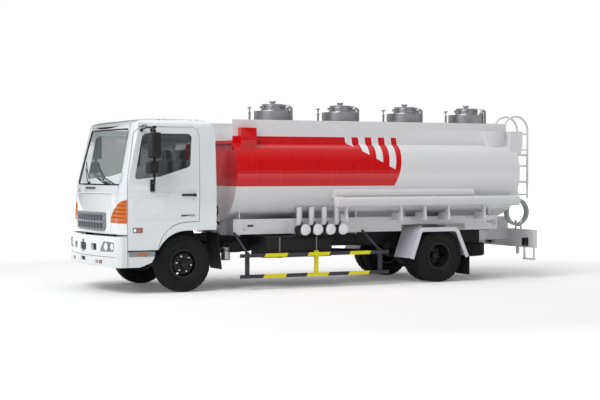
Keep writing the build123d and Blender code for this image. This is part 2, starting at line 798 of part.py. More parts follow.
# ---- rear ladder ------------------------------------------------------------------------------
ladder_y, ladder_half = 590, 150
ladder_tube = 17
ladder_x = rear_axle_x - rear_overhang + ladder_tube
ladder_foot = 1350
ladder_hoop = 245          # radius of the rails' hoop over the tank's rim
ladder_hoop_z = 2776 - ladder_tube - ladder_hoop
ladder_leg = 2396
rung_heights = [1638, 1914, 2191, 2460]
standoff_heights = [1420, 2100]
with BuildPart() as ladder:
    for end in (1, -1):
        y = ladder_y + end * ladder_half
        with BuildLine(Plane.XZ.offset(-y)) as rail_path:
            hoop_end = ladder_x + 2 * ladder_hoop
            Line((ladder_x, ladder_foot), (ladder_x, ladder_hoop_z))
            ThreePointArc((ladder_x, ladder_hoop_z), (ladder_x + ladder_hoop, ladder_hoop_z + ladder_hoop),
                          (hoop_end, ladder_hoop_z))
            Line((hoop_end, ladder_hoop_z), (hoop_end, ladder_leg))
        with BuildSketch(Plane(origin=(ladder_x, y, ladder_foot), z_dir=(0, 0, 1))):
            Circle(ladder_tube)
        sweep(path=rail_path.wires()[0])
        for z in standoff_heights:
            add(rod((ladder_x, y, z), (tank_rear + 60, y, z), ladder_tube))
    for z in rung_heights:
        reach = ladder_half - ladder_tube - joint_gap
        add(rod((ladder_x, ladder_y - reach, z), (ladder_x, ladder_y + reach, z), ladder_tube - 3))
    add(tank_solid, mode=Mode.SUBTRACT)
    add(coaming.part, mode=Mode.SUBTRACT)
keep(ladder, "ladder")

# ---- rear cross beam with its loops, lamps ------------------------------------------------------
beam_x = front_axle_x - 6300
beam_wall = 12
tongue_y, tongue_eye_z, tongue_half, tongue_bore = 672, 432, 36, 18
hanger_high = 985
with BuildPart() as rear_beam:
    add(plain_box((beam_x - beam_wall, beam_x), (-body_half, body_half), (beam_low, beam_top)))
    add(plain_box((beam_x - beam_depth_x, beam_x), (-body_half, body_half), (beam_top - beam_wall, beam_top)))
    add(plain_box((beam_x - beam_depth_x, beam_x), (-body_half, body_half), (beam_low, beam_low + beam_wall)))
    for side in (1, -1):
        add(plain_box((beam_x - beam_depth_x, beam_x), sorted((side * body_half, side * (body_half - beam_wall))),
                      (beam_low, beam_top)))
        with BuildSketch(Plane.YZ.offset(beam_x - 40)):
            with Locations((side * tongue_y, tongue_eye_z)):
                Circle(tongue_half)
            with Locations((side * tongue_y, (tongue_eye_z + beam_low + beam_wall) / 2)):
                Rectangle(2 * tongue_half, beam_low + beam_wall - tongue_eye_z)
        extrude(amount=40 - beam_wall)
        with BuildSketch(Plane.YZ.offset(beam_x - 60)):
            with Locations((side * tongue_y, tongue_eye_z)):
                Circle(tongue_bore)
        extrude(amount=60 - beam_wall, mode=Mode.SUBTRACT)
        for y in (860, 1130):
            add(plain_box((beam_x - 50, beam_x - 20), sorted((side * (y - 12), side * (y + 12))), (330, beam_low)))
        add(plain_box((beam_x - 60, beam_x - 10), sorted((side * 848, side * 1142)), (312, 342)))
    # fork and pin that carry the hose coil
    for y in (coil_near - 14, coil_near + coil_width + 6):
        add(plain_box((beam_x - 46, beam_x - 6), (y, y + 8), (beam_top - beam_wall, hanger_high)))
    coil_foot = coil_z - ((coil_radius + hose_radius) ** 2 - (beam_x - 26 - coil_x) ** 2) ** 0.5
    add(rod((beam_x - 26, coil_near - 10, coil_foot - 14), (beam_x - 26, coil_near + coil_width + 10, coil_foot - 14), 8))
keep(rear_beam, "rear_beam")

with BuildPart() as rear_lamps:
    for side in (1, -1):
        add(plain_box((beam_x - 120, beam_x - beam_wall), sorted((side * 770, side * 1110)), (570, 700)))
    # sockets on the beam's front face
    for y in (975, -130):
        with BuildSketch(Plane.YZ.offset(beam_x)):
            with Locations((y, 620)):
                RectangleRounded(92, 136, 14)
        extrude(amount=70)
keep(rear_lamps, "rear_lamps")

# ---- rear fenders and mud flaps -------------------------------------------------------------------
fender_inner, fender_outer = 610, 1150
fender_path = [(-3890, 411), (-4050, 862), (-4110, 905), (-4760, 905), (-4820, 862), (-5018, 422)]
fender_wall = 6
fender_lip = 70
flap_low, flap_high, flap_inner = 110, 600, 750
with BuildPart() as fenders:
    outer = [(front_axle_x + px, pz) for px, pz in fender_path]
    for word, side in sides:
        for reach, wall, thickness in ((fender_inner, fender_outer - fender_inner, fender_wall),
                                       (fender_outer - fender_wall, fender_wall, fender_lip)):
            with BuildSketch(Plane.XZ.offset(-side * reach)):
                with BuildLine():
                    Polyline(*outer)
                    offset(amount=thickness, side=Side.LEFT)
                make_face()
            extrude(amount=-side * wall)
        for px in (-4180, -4690):
            x = front_axle_x + px
            add(plain_box((x - 20, x + 20), sorted((side * rail_half, side * 1000)), (905, 929)))
keep(fenders, "rear_fenders")

with BuildPart() as flaps:
    flap_x = front_axle_x + fender_path[-1][0]
    for word, side in sides:
        add(plain_box((flap_x - 8, flap_x), sorted((side * flap_inner, side * fender_outer)), (flap_low, flap_high)))
    add(fenders.part, mode=Mode.SUBTRACT)
keep(flaps, "mud_flaps")

# ---- spare wheel slung flat under the tail ----------------------------------------------------------
spare_x = front_axle_x - 5570
spare_z = 470
with BuildPart() as spare:
    add(tyre_face(Plane(origin=(spare_x, 0, spare_z), x_dir=(0, 0, 1), z_dir=(0, -1, 0))))
    add(rim_face(Plane(origin=(spare_x, 0, spare_z), x_dir=(0, 0, -1), z_dir=(0, 1, 0)), front_disc_face))
    revolve(axis=Axis((spare_x, 0, 0), (0, 0, 1)))
    add(plain_box((spare_x - 60, spare_x + 60), (-110, 110), (spare_z - front_disc_face + disc_wall, spare_z - 50)))
    add(rod((spare_x, 0, spare_z - 60), (spare_x, 0, frame_top - crossmember_drop - crossmember_height), 12))
keep(spare, "spare_wheel")

# ---- side guards -------------------------------------------------------------------------------------
guard_front, guard_rear = -880, -3486
guard_rail_heights = [(180, 235), (500, 555)]
guard_posts = [-1010, -2199, -3347]
guard_depth = 32
guard_stays = [(-1014, -880), (-3338, -3131)]      # foot on the post, head on the skirt
with BuildPart() as guards:
    outer, inner = body_half, body_half - guard_depth
    back = body_half - 2 * guard_depth
    for low, high in guard_rail_heights:
        add(plain_box((front_axle_x + guard_rear, front_axle_x + guard_front), (inner, outer), (low, high)))
    for ahead in guard_posts:
        x = front_axle_x + ahead
        add(plain_box((x - 32, x + 32), (back, inner), (guard_rail_heights[0][0], 580)))
    for foot, head in guard_stays:
        add(rod((front_axle_x + foot, body_half - 48, 560), (front_axle_x + head, skirt_half + 6, 875), 20))
    add(subframe.part, mode=Mode.SUBTRACT)
keep(guards, "side_guards")

# ---- fuel tank, battery box, air tanks, silencer ---------------------------------------------------------
with BuildPart() as fuel_tank:
    with BuildSketch(Plane.YZ.offset(front_axle_x - 2502)) as face:
        with Locations((775, 646)):
            RectangleRounded(550, 336, 60)
    extrude(amount=1155)
    for ahead in (-1625, -2264):
        x = front_axle_x + ahead
        add(plain_box((x - 25, x + 25), (rail_half, 520), (620, 800)))
        with BuildSketch(Plane.YZ.offset(x - 25)) as strap:
            with Locations((775, 646)):
                RectangleRounded(562, 348, 66)
        extrude(amount=50)
keep(fuel_tank, "fuel_tank")

with BuildPart() as battery_box:
    with BuildSketch(Plane.YZ.offset(front_axle_x - 1800)) as face:
        with Locations((-780, 640)):
            RectangleRounded(480, 300, 20)
    extrude(amount=620)
    add(plain_box((front_axle_x - 1660, front_axle_x - 1320), (-540, -rail_half), (640, 760)))
keep(battery_box, "battery_box")

with BuildPart() as air_tanks:
    for z in (690, 500):
        with BuildSketch(Plane.YZ.offset(front_axle_x - 2480)):
            with Locations((-620, z)):
                Circle(88)
        extrude(amount=560)
    for ahead in (-2020, -2380):
        x = front_axle_x + ahead
        add(plain_box((x - 20, x + 20), (-620, -rail_half), (430, 760)))
    with BuildSketch(Plane.XY.offset(448)):
        with Locations((front_axle_x - 800, 750)):
            Circle(70)
    extrude(amount=197)
    add(plain_box((front_axle_x - 1076, front_axle_x - 780), (690, 702), (560, 720)))
    add(plain_box((front_axle_x - 1000, front_axle_x - 960), (rail_half, 702), (640, 700)))
keep(air_tanks, "air_tanks")

with BuildPart() as silencer:
    with BuildSketch(Plane.YZ.offset(front_axle_x - 3300)):
        with Locations((-690, 620)):
            Circle(130)
    extrude(amount=640)
    add(rod((front_axle_x - 3290, -690, 620), (front_axle_x - 3480, -690, 620), 40))
    for ahead in (-2800, -3160):
        x = front_axle_x + ahead
        add(plain_box((x - 20, x + 20), (-700, -rail_half), (680, 780)))
keep(silencer, "silencer")

# ---- front mudguards behind the front wheels ------------------------------------------------------------
with BuildPart() as front_mudguards:
    for side in (1, -1):
        with BuildSketch(Plane.XZ.offset(-side * 640)):
            with BuildLine():
                Polyline((front_axle_x - 532, 890), (front_axle_x - 600, 330), (front_axle_x - 588, 330),
                         (front_axle_x - 516, 890), close=True)
            make_face()
        extrude(amount=-side * 440)
        add(plain_box((front_axle_x - 600, front_axle_x - 540), sorted((side * rail_half, side * 660)), (700, 740)))
keep(front_mudguards, "front_mudguards")

# ---- bumper on the frame ------------------------------------------------------------------------------
bumper_wall = 42
bumper_bottom, bumper_top = 402, 862
bumper_section = (front_overhang, 1118, 975, 1020)       # nose, corner x, corner y, shoulder x
bumper_rear_edge = 939
headlamp_outline = [(640, 626), (1045, 640), (1052, 772), (748, 784)]
headlamp_corner = 18
bumper_slots = [
    # distance from the middle, width, bottom, top
    (0, 290, 632, 742),
    (0, 110, 600, 790),
    (432, 190, 640, 742),
    (0, 210, 470, 530),
    (600, 220, 446, 500),
]


def bumper_form(inset):
    """Bowed plan of the bumper, moved inwards."""
    nose, cx, cy, sx = (v - inset for v in bumper_section)
    half = body_half - inset
    x = front_axle_x
    open_end = x + bumper_rear_edge - inset
    with BuildPart() as form:
        with BuildSketch(Plane.XY.offset(bumper_bottom)):
            with BuildLine():
                ThreePointArc((x + cx, cy), (x + nose, 0), (x + cx, -cy))
                mx, my = x + sx + 0.72 * (cx - sx), cy + 0.72 * (half - cy)
                ThreePointArc((x + cx, -cy), (mx, -my), (x + sx, -half))
                Polyline((x + sx, -half), (open_end, -half), (open_end, half), (x + sx, half))
                ThreePointArc((x + sx, half), (mx, my), (x + cx, cy))
            make_face()
        extrude(amount=bumper_top - bumper_bottom)
    return form.part


with BuildPart() as bumper:
    add(bumper_form(0))
    add(bumper_form(bumper_wall), mode=Mode.SUBTRACT)
    for side in (1, -1):
        outline = [(side * py, pz) for py, pz in headlamp_outline]
        add(front_prism(outline, front_axle_x + 980, front_axle_x + 1300, headlamp_corner), mode=Mode.SUBTRACT)
    for middle, width, low, high in bumper_slots:
        for side in ((1, -1) if middle else (1,)):
            inner, outer = side * middle - width / 2, side * middle + width / 2
            slot = [(inner, low), (outer, low), (outer, high), (inner, high)]
            add(front_prism(slot, front_axle_x + 1050, front_axle_x + 1300, 10), mode=Mode.SUBTRACT)
keep(bumper, "front_bumper")

with BuildPart() as headlamps:
    for side in (1, -1):
        outline = [(side * py, pz) for py, pz in headlamp_outline]
        lens = front_prism(outline, front_axle_x + 980, front_axle_x + 1300, headlamp_corner)
        add(lens)
    add(bumper_form(6), mode=Mode.INTERSECT)
    add(bumper_form(90), mode=Mode.SUBTRACT)
keep(headlamps, "headlamps")

with BuildPart() as horned_frame:
    with BuildPart(mode=Mode.PRIVATE) as horns:
        for side in (1, -1):
            y = sorted((side * (rail_half - rail_flange), side * rail_half))
            add(plain_box((frame_front - 1, front_axle_x + 1260), y, (frame_bottom, frame_bottom + 120)))
        add(plain_box((frame_front, front_axle_x + 1190), (-rail_half, rail_half), (frame_bottom - 60, frame_bottom)))
        add(bumper_form(bumper_wall), mode=Mode.INTERSECT)
    add(frame.part)
    add(horns.part)
keep(horned_frame, "ladder_frame")

# ---- steps below the doors -------------------------------------------------------------------------------
with BuildPart() as steps:
    for side in (1, -1):
        with BuildSketch(Plane.XZ.offset(-side * 850)):
            with BuildLine():
                x = front_axle_x
                Polyline((x + 925, 628), (x + 925, 403), (x + 745, 403), (x + 560, 470), (x + 520, 540),
                         (x + 505, 628), close=True)
            make_face()
        extrude(amount=-side * (body_half - 850))
        add(plain_box((x + 620, x + 900), sorted((side * 880, side * (body_half - 30))), (430, 590)), mode=Mode.SUBTRACT)
        add(plain_box((x + 730, x + 780), sorted((side * rail_half, side * 860)), (560, 620)))
        add(plain_box((x + 820, x + 880), sorted((side * rail_half, side * 860)), (560, 620)))
keep(steps, "cab_steps")

# ---- cab hinge: pin through brackets on the frame ------------------------------------------------------------
hinge_y = 480
with BuildPart() as cab_hinge:
    for side in (1, -1):
        y = sorted((side * (rail_half - 40), side * rail_half))
        with BuildSketch(Plane.XZ.offset(-y[0])):
            with BuildLine():
                nose = cab_pin_radius + 8
                Polyline((frame_front - 120, frame_top), (frame_front, frame_top), (cab_hinge_x + nose, cab_hinge_z),
                         (cab_hinge_x, cab_hinge_z + nose), (cab_hinge_x - nose, cab_hinge_z), close=True)
            make_face()
        extrude(amount=-(y[1] - y[0]))
    with BuildSketch(Plane.XZ.offset(-hinge_y)):
        with Locations((cab_hinge_x, cab_hinge_z)):
            Circle(cab_pin_radius)
    extrude(amount=2 * hinge_y)
keep(cab_hinge, "cab_hinge")

# ---- cab shell --------------------------------------------------------------------------------------------
door_line = [(460, door_sill), (door_front, door_sill), (door_front, 1671), (800, 2396), (735, 2466), (660, 2480),
             (-120, 2480), (-190, 2450), (-216, 2321), (door_rear, 1076), (60, 1062)]
door_bend = (330, 925)
window_line = [(822, 1700), (690, 2340), (640, 2384), (-50, 2384), (-98, 2340), (-64, 1905), (-20, 1880), (420, 1744)]
lid_bottom_z, lid_top_z, lid_half = cab_front_bottom, 1480, 800
lid_gap_width = 8
lid_skin = 30
lid_recess = 40
screen_line = [(1010, 1650), (905, 2420), (860, 2462), (-860, 2462), (-905, 2420), (-1010, 1650), (-960, 1612),
               (960, 1612)]
rear_window_line = [(560, 1700), (560, 2250), (-560, 2250), (-560, 1700)]

door_outline = outline_xz(door_line, door_bend)
opening_outline = outline_xz(door_line, door_bend, grow=door_gap)
window_outline = outline_xz(window_line, radius=38)
glass_outline = outline_xz(window_line, radius=38, grow=-glass_gap)

outer_volume = cab_volume(0, 0, sill_bottom, roof_height)
inner_volume = cab_volume(cab_wall, firewall_depth, cab_floor, roof_height - cab_wall)
with BuildPart() as glass_layer:
    add(cab_volume(glass_inset, glass_inset, sill_bottom, roof_height))
    add(cab_volume(glass_inset + glass_thickness, glass_inset + glass_thickness, sill_bottom - 20, roof_height),
        mode=Mode.SUBTRACT)
door_skin = 48

with BuildPart() as door_zone:
    add(outer_volume)
    add(cab_volume(door_skin, 0, sill_bottom - 20, roof_height), mode=Mode.SUBTRACT)

lid_line = [(-lid_half, lid_bottom_z), (lid_half, lid_bottom_z), (lid_half, lid_top_z), (-lid_half, lid_top_z)]
lid_hole = [(-lid_half - lid_gap_width, lid_bottom_z - 20), (lid_half + lid_gap_width, lid_bottom_z - 20),
            (lid_half + lid_gap_width, lid_top_z + lid_gap_width),
            (-lid_half - lid_gap_width, lid_top_z + lid_gap_width)]
with BuildPart() as lid_opening:
    add(front_prism(lid_hole, front_axle_x + 950, front_axle_x + 1300))
    add(cab_volume(0, lid_recess, sill_bottom - 20, roof_height), mode=Mode.SUBTRACT)

with BuildPart() as cab_shell:
    add(outer_volume)
    add(inner_volume, mode=Mode.SUBTRACT)
    # underside: wheel arches, engine tunnel and the front edge over the bumper
    for side in (1, -1):
        with BuildSketch(Plane.XZ.offset(-side * (tunnel_half - 1))):
            with BuildLine():
                x = front_axle_x
                reach = (arch_radius ** 2 - (sill_bottom - 60 - wheel_z) ** 2) ** 0.5
                diagonal = arch_radius * 0.7071
                Polyline((cab_rear - 100, sill_bottom - 60), (cab_rear - 100, arch_top), (x, wheel_z + arch_radius))
                ThreePointArc((x, wheel_z + arch_radius), (x + diagonal, wheel_z + diagonal),
                              (x + reach, sill_bottom - 60))
                Line((x + reach, sill_bottom - 60), (cab_rear - 100, sill_bottom - 60))
            make_face()
        extrude(amount=-side * body_half, mode=Mode.SUBTRACT)
        well = sorted((side * step_well_half, side * (body_half + 50)))
        add(plain_box((x + 545, x + door_front - 30), well, (step_well_floor, cab_floor + 1)), mode=Mode.SUBTRACT)
    add(plain_box((cab_rear - 100, cab_hinge_x + 45), (-tunnel_half, tunnel_half), (sill_bottom - 60, cab_floor_underside)),
        mode=Mode.SUBTRACT)
    add(plain_box((x + door_front + 8, x + 1400), (-body_half - 10, body_half + 10),
                  (sill_bottom - 60, cab_front_bottom)), mode=Mode.SUBTRACT)
    # door openings
    for side in (1, -1):
        add(side_prism(opening_outline, side, body_half - 200, body_half + 60), mode=Mode.SUBTRACT)
    # windscreen, rear window and the recess of the front lid
    add(front_prism(screen_line, x + 600, x + 1400), mode=Mode.SUBTRACT)
    add(front_prism(rear_window_line, cab_rear - 50, cab_rear + 200, 60), mode=Mode.SUBTRACT)
    add(lid_opening.part, mode=Mode.SUBTRACT)
    # hinge lugs under the floor
    for side in (1, -1):
        y = sorted((side * (rail_half + 8), side * (rail_half + 48)))
        with BuildSketch(Plane.XZ.offset(-y[0])) as lug:
            with BuildLine():
                Polyline((cab_hinge_x - 110, cab_floor_underside + 1), (cab_hinge_x + 34, cab_floor_underside + 1),
                         (cab_hinge_x + 34, cab_hinge_z - 20), (cab_hinge_x + 16, cab_hinge_z - 34),
                         (cab_hinge_x - 24, cab_hinge_z - 34), close=True)
            make_face()
        extrude(amount=-(y[1] - y[0]))
    with BuildSketch(Plane.XZ.offset(-hinge_y - 20)):
        with Locations((cab_hinge_x, cab_hinge_z)):
            Circle(cab_pin_radius + cab_pin_clearance)
    extrude(amount=2 * hinge_y + 40, mode=Mode.SUBTRACT)

# ---- doors and their glass -----------------------------------------------------------------------------------
for word, side in sides:
    with BuildPart() as door:
        add(door_zone.part)
        add(side_prism(door_outline, side, body_half - 400, body_half + 60), mode=Mode.INTERSECT)
        add(side_prism(window_outline, side, body_half - 400, body_half + 60), mode=Mode.SUBTRACT)
    keep(door, "door_" + word)

    with BuildPart() as pane:
        add(glass_layer.part)
        add(side_prism(glass_outline, side, body_half - 400, body_half + 60), mode=Mode.INTERSECT)
    keep(pane, "door_glass_" + word)

# ---- windscreen and rear window --------------------------------------------------------------------------------
with BuildPart() as cab_glass:
    with BuildPart(mode=Mode.PRIVATE) as screen:
        add(front_prism(screen_line, front_axle_x + 600, front_axle_x + 1400))
        add(glass_layer.part, mode=Mode.INTERSECT)
    add(screen.part)
    add(front_prism(rear_window_line, cab_rear + glass_inset, cab_rear + glass_inset + glass_thickness, 60))
keep(cab_glass, "cab_glass")

# ---- front lid with its grille ------------------------------------------------------------------------------------
grille_half, grille_low, grille_high = 655, 944, 1192
grille_line = [(-grille_half + 40, grille_low), (grille_half - 40, grille_low), (grille_half, grille_low + 60),
               (grille_half, grille_high), (-grille_half, grille_high), (-grille_half, grille_low + 60)]
grille_proud = 12
lid_inside = cab_volume(0, lid_skin, sill_bottom - 20, roof_height)
with BuildPart() as front_lid:
    add(front_prism(lid_line, front_axle_x + 950, front_axle_x + 1300))
    add(outer_volume, mode=Mode.INTERSECT)
    add(lid_inside, mode=Mode.SUBTRACT)
    add(front_prism(grille_line, front_axle_x + 950, front_axle_x + 1300), mode=Mode.SUBTRACT)
keep(front_lid, "front_lid")

slot_columns, slot_rows = 10, [(965, 1045), (1085, 1165)]
slot_width, slot_pitch = 92, 118
with BuildPart() as grille:
    add(front_prism(grille_line, front_axle_x + 950, front_axle_x + 1300))
    add(cab_volume(0, -grille_proud, sill_bottom, roof_height), mode=Mode.INTERSECT)
    add(lid_inside, mode=Mode.SUBTRACT)
    with BuildSketch(Plane.YZ.offset(front_axle_x + 950)):
        for low, high in slot_rows:
            for column in range(slot_columns):
                with Locations(((column - (slot_columns - 1) / 2) * slot_pitch, (low + high) / 2)):
                    Rectangle(slot_width, high - low)
    extrude(amount=350, mode=Mode.SUBTRACT)
keep(grille, "grille")

# ---- corner lamps ------------------------------------------------------------------------------------------------------
lamp_proud, lamp_depth = 5, 26
lamp_rear, lamp_front = 150, -200        # across the corner, from the point 1000 mm ahead and 1000 mm out
lamp_low, lamp_high = 1056, 1402
lamp_bow = (-80, 1290)
with BuildPart() as lamp_zone:
    for side in (1, -1):
        corner = Plane(origin=(front_axle_x + 1000, side * 1000, 0), x_dir=(-side, 1, 0), z_dir=(1, side, 0))
        with BuildSketch(corner):
            with BuildLine():
                Polyline((side * lamp_rear, lamp_high), (side * lamp_rear, lamp_low), (side * lamp_front, lamp_low))
                ThreePointArc((side * lamp_front, lamp_low), (side * lamp_bow[0], lamp_bow[1]),
                              (side * lamp_rear, lamp_high))
            make_face()
        extrude(amount=320, both=True)
    lamp_ends = (front_axle_x + 948, front_axle_x + 1300)
    inner = lid_half + 2 * lid_gap_width
    reach = [plain_box(lamp_ends, sorted((side * inner, side * 1300)), (lamp_low, lamp_high)) for side in (1, -1)]
    add(reach, mode=Mode.INTERSECT)

with BuildPart() as corner_lamps:
    add(lamp_zone.part)
    add(cab_volume(-lamp_proud, -lamp_proud, sill_bottom, roof_height), mode=Mode.INTERSECT)
    add(cab_volume(lamp_depth, lamp_depth, sill_bottom - 20, roof_height), mode=Mode.SUBTRACT)
keep(corner_lamps, "corner_lamps")

with BuildPart() as shell_with_pockets:
    add(cab_shell.part)
    add(corner_lamps.part, mode=Mode.SUBTRACT)
keep(shell_with_pockets, "cab_shell")

# ---- mirrors, carried by the doors -----------------------------------------------------------------------------------------
mirror_y = 1370
mirror_heads = [
    # x from the front axle, low, high, width, depth
    (580, 2017, 2395, 200, 92),
    (620, 1784, 1970, 190, 96),
]
mirror_corner = 36
mirror_post_x = front_axle_x + 596
mirror_post_low, mirror_post_high = 1640, 2475
mirror_tube = 14
upper_feet_x = [front_axle_x + 540, front_axle_x + 700]
upper_foot = (1084, 2440)      # y and height on the door's frame
upper_tube = 11
lower_foot = (front_axle_x + 550, 1135, 1655)
pad_x = (front_axle_x + 515, front_axle_x + 585)
pad_y = (1120, 1172)
pad_z = (1520, 1700)
for word, side in sides:
    with BuildPart() as mirror:
        for ahead, low, high, width, depth in mirror_heads:
            with BuildSketch(Plane.XY.offset(low)):
                with Locations((front_axle_x + ahead, side * mirror_y)):
                    RectangleRounded(depth, width, mirror_corner)
            extrude(amount=high - low)
        post_y = side * mirror_y
        add(rod((mirror_post_x, post_y, mirror_post_low), (mirror_post_x, post_y, mirror_post_high), mirror_tube))
        arm_y = post_y + side * 4
        for x in upper_feet_x:
            end = (x, side * upper_foot[0], upper_foot[1])
            add(rod((mirror_post_x, arm_y, mirror_post_high - 20), end, upper_tube))
        end = (lower_foot[0], side * lower_foot[1], lower_foot[2])
        add(rod((mirror_post_x, arm_y, lower_foot[2]), end, mirror_tube - 1))
        add(plain_box(pad_x, sorted((side * pad_y[0], side * pad_y[1])), pad_z))
        add(outer_volume, mode=Mode.SUBTRACT)
    keep(mirror, "mirror_" + word)

# ---- wipers ------------------------------------------------------------------------------------------------------------------
with BuildPart() as wipers:
    for y in (520, -260):
        x = front_axle_x + 1170
        add(rod((x - 60, y, 1560), (x, y, 1560), 16))
        add(rod((x - 8, y, 1560), (x - 60, y + 420, 1640), 9))
    add(outer_volume, mode=Mode.SUBTRACT)
keep(wipers, "wipers")

# ---- inside the cab -----------------------------------------------------------------------------------------------------------
with BuildPart() as dashboard:
    with BuildSketch(Plane.XZ.offset(-1080)):
        with BuildLine():
            x = front_axle_x
            Polyline((x + 1200, 1560), (x + 760, 1590), (x + 720, 1500), (x + 800, 1290), (x + 1200, 1290), close=True)
        make_face()
    extrude(amount=2160)
    add(plain_box((x + 800, x + 1100), (-150, 150), (cab_floor, 1300)))
    add(cab_volume(cab_wall + 30, firewall_depth + 1, cab_floor, roof_height - 200), mode=Mode.INTERSECT)
    add(cab_shell.part, mode=Mode.SUBTRACT)
keep(dashboard, "dashboard")

seat_places = [(-620, 520), (0, 430), (620, 520)]     # middle and width
with BuildPart() as seats:
    for y, width in seat_places:
        add(plain_box((front_axle_x - 300, front_axle_x + 180), (y - width / 2 + 40, y + width / 2 - 40), (cab_floor, 1290)))
        with BuildSketch(Plane.XY.offset(1290)):
            with Locations((front_axle_x - 50, y)):
                RectangleRounded(540, width, 50)
        extrude(amount=130)
        with BuildSketch(Plane.YZ.offset(front_axle_x - 400)):
            with Locations((y, 1720)):
                RectangleRounded(width, 600, 60)
        extrude(amount=120)
        with BuildSketch(Plane.YZ.offset(front_axle_x - 385)):
            with Locations((y, 2110)):
                RectangleRounded(260, 170, 50)
        extrude(amount=90)
keep(seats, "seats")

wheel_centre = (front_axle_x + 640, -620, 1640)
rim_r, rim_tube = 215, 15
lean = 32
with BuildPart() as steering_wheel:
    hub = Plane(origin=wheel_centre, z_dir=(-sin(radians(lean)), 0, cos(radians(lean))))
    with BuildSketch(Plane(origin=wheel_centre, x_dir=hub.x_dir, z_dir=hub.y_dir)):
        with Locations((rim_r, 0)):
            RegularPolygon(rim_tube, 6)
    revolve(axis=Axis(wheel_centre, hub.z_dir))
    with BuildSketch(hub.offset(-30)):
        Circle(52)
    extrude(amount=34)
    for turn in (90, 210, 330):
        tip = hub.from_local_coords(Vector(rim_r * cos(radians(turn)), rim_r * sin(radians(turn)), 0))
        add(rod(wheel_centre, tuple(tip), 9))
    foot = hub.from_local_coords(Vector(0, 0, -330))
    add(rod(wheel_centre, tuple(foot), 28))
    add(dashboard.part, mode=Mode.SUBTRACT)
keep(steering_wheel, "steering_wheel")
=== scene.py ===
import json
import math

import bmesh
import bpy
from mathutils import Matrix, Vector
from mathutils.bvhtree import BVHTree

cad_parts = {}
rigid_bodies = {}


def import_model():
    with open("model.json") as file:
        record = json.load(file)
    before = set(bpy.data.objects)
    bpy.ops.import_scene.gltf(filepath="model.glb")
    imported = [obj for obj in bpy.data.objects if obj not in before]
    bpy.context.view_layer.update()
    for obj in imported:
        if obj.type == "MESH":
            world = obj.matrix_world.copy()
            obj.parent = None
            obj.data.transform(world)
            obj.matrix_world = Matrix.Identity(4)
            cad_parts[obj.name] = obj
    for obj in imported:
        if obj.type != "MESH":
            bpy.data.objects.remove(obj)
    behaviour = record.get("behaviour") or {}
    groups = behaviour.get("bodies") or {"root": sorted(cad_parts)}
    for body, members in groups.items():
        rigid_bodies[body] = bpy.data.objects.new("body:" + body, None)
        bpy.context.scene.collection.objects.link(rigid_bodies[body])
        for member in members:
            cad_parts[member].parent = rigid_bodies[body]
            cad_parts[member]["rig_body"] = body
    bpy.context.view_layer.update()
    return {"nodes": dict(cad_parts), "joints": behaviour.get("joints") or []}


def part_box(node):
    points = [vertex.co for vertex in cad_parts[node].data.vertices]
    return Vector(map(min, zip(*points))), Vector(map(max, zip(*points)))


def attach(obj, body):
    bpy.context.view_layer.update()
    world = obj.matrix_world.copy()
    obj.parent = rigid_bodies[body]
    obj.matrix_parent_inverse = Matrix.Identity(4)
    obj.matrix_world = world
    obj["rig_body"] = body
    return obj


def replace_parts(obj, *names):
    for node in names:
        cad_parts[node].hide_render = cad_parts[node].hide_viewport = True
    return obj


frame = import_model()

nodes = frame["nodes"]
joints = {joint["name"]: joint for joint in frame["joints"]}
scene = bpy.context.scene
frontAxleX = joints["roll_front_left"]["pos_m"][0]
rearAxleX = joints["roll_rear_left"]["pos_m"][0]
wheelZ = joints["roll_front_left"]["pos_m"][2]
sides = {"left": 1, "right": -1}
print("frame loaded:", len(nodes), "nodes")


# shader maths: sockets that can be added, multiplied and compared

def feed(tree, socket, item):
    if isinstance(item, Value):
        tree.links.new(item.socket, socket)
    elif hasattr(socket.default_value, "__len__") and not hasattr(item, "__len__"):
        socket.default_value = [item] * len(socket.default_value)
    else:
        socket.default_value = item


# any shader node: its kind, its settings, which are set first, and its sockets' values or links
def addNode(tree, kind, settings=None, sockets=None):
    made = tree.nodes.new("ShaderNode" + kind)
    for key, value in (settings or {}).items():
        setattr(made, key, value)
    for key, item in (sockets or {}).items():
        feed(tree, made.inputs[key], item)
    return made


def mathNode(tree, operation, *items, clamp=False):
    settings = {"operation": operation, "use_clamp": clamp}
    return Value(tree, addNode(tree, "Math", settings, dict(enumerate(items))).outputs[0])


class Value:
    def __init__(self, tree, socket):
        self.tree = tree
        self.socket = socket

    def math(self, operation, *items, clamp=False):
        return mathNode(self.tree, operation, self, *items, clamp=clamp)

    def __add__(self, other):
        return self.math("ADD", other)

    __radd__ = __add__

    def __sub__(self, other):
        return self.math("SUBTRACT", other)

    def __rsub__(self, other):
        return mathNode(self.tree, "SUBTRACT", other, self)

    def __mul__(self, other):
        return self.math("MULTIPLY", other)

    __rmul__ = __mul__

    def __truediv__(self, other):
        return self.math("DIVIDE", other)

    def __rtruediv__(self, other):
        return mathNode(self.tree, "DIVIDE", other, self)

    def __gt__(self, other):
        return self.math("GREATER_THAN", other)

    def __lt__(self, other):
        return self.math("LESS_THAN", other)

    def __abs__(self):
        return self.math("ABSOLUTE")

    def clamped(self):
        return self.math("ADD", 0.0, clamp=True)

    def between(self, low, high):
        return (self > low) * (self < high)

    def rise(self, start, end):
        return ((self - start) / (end - start)).clamped()


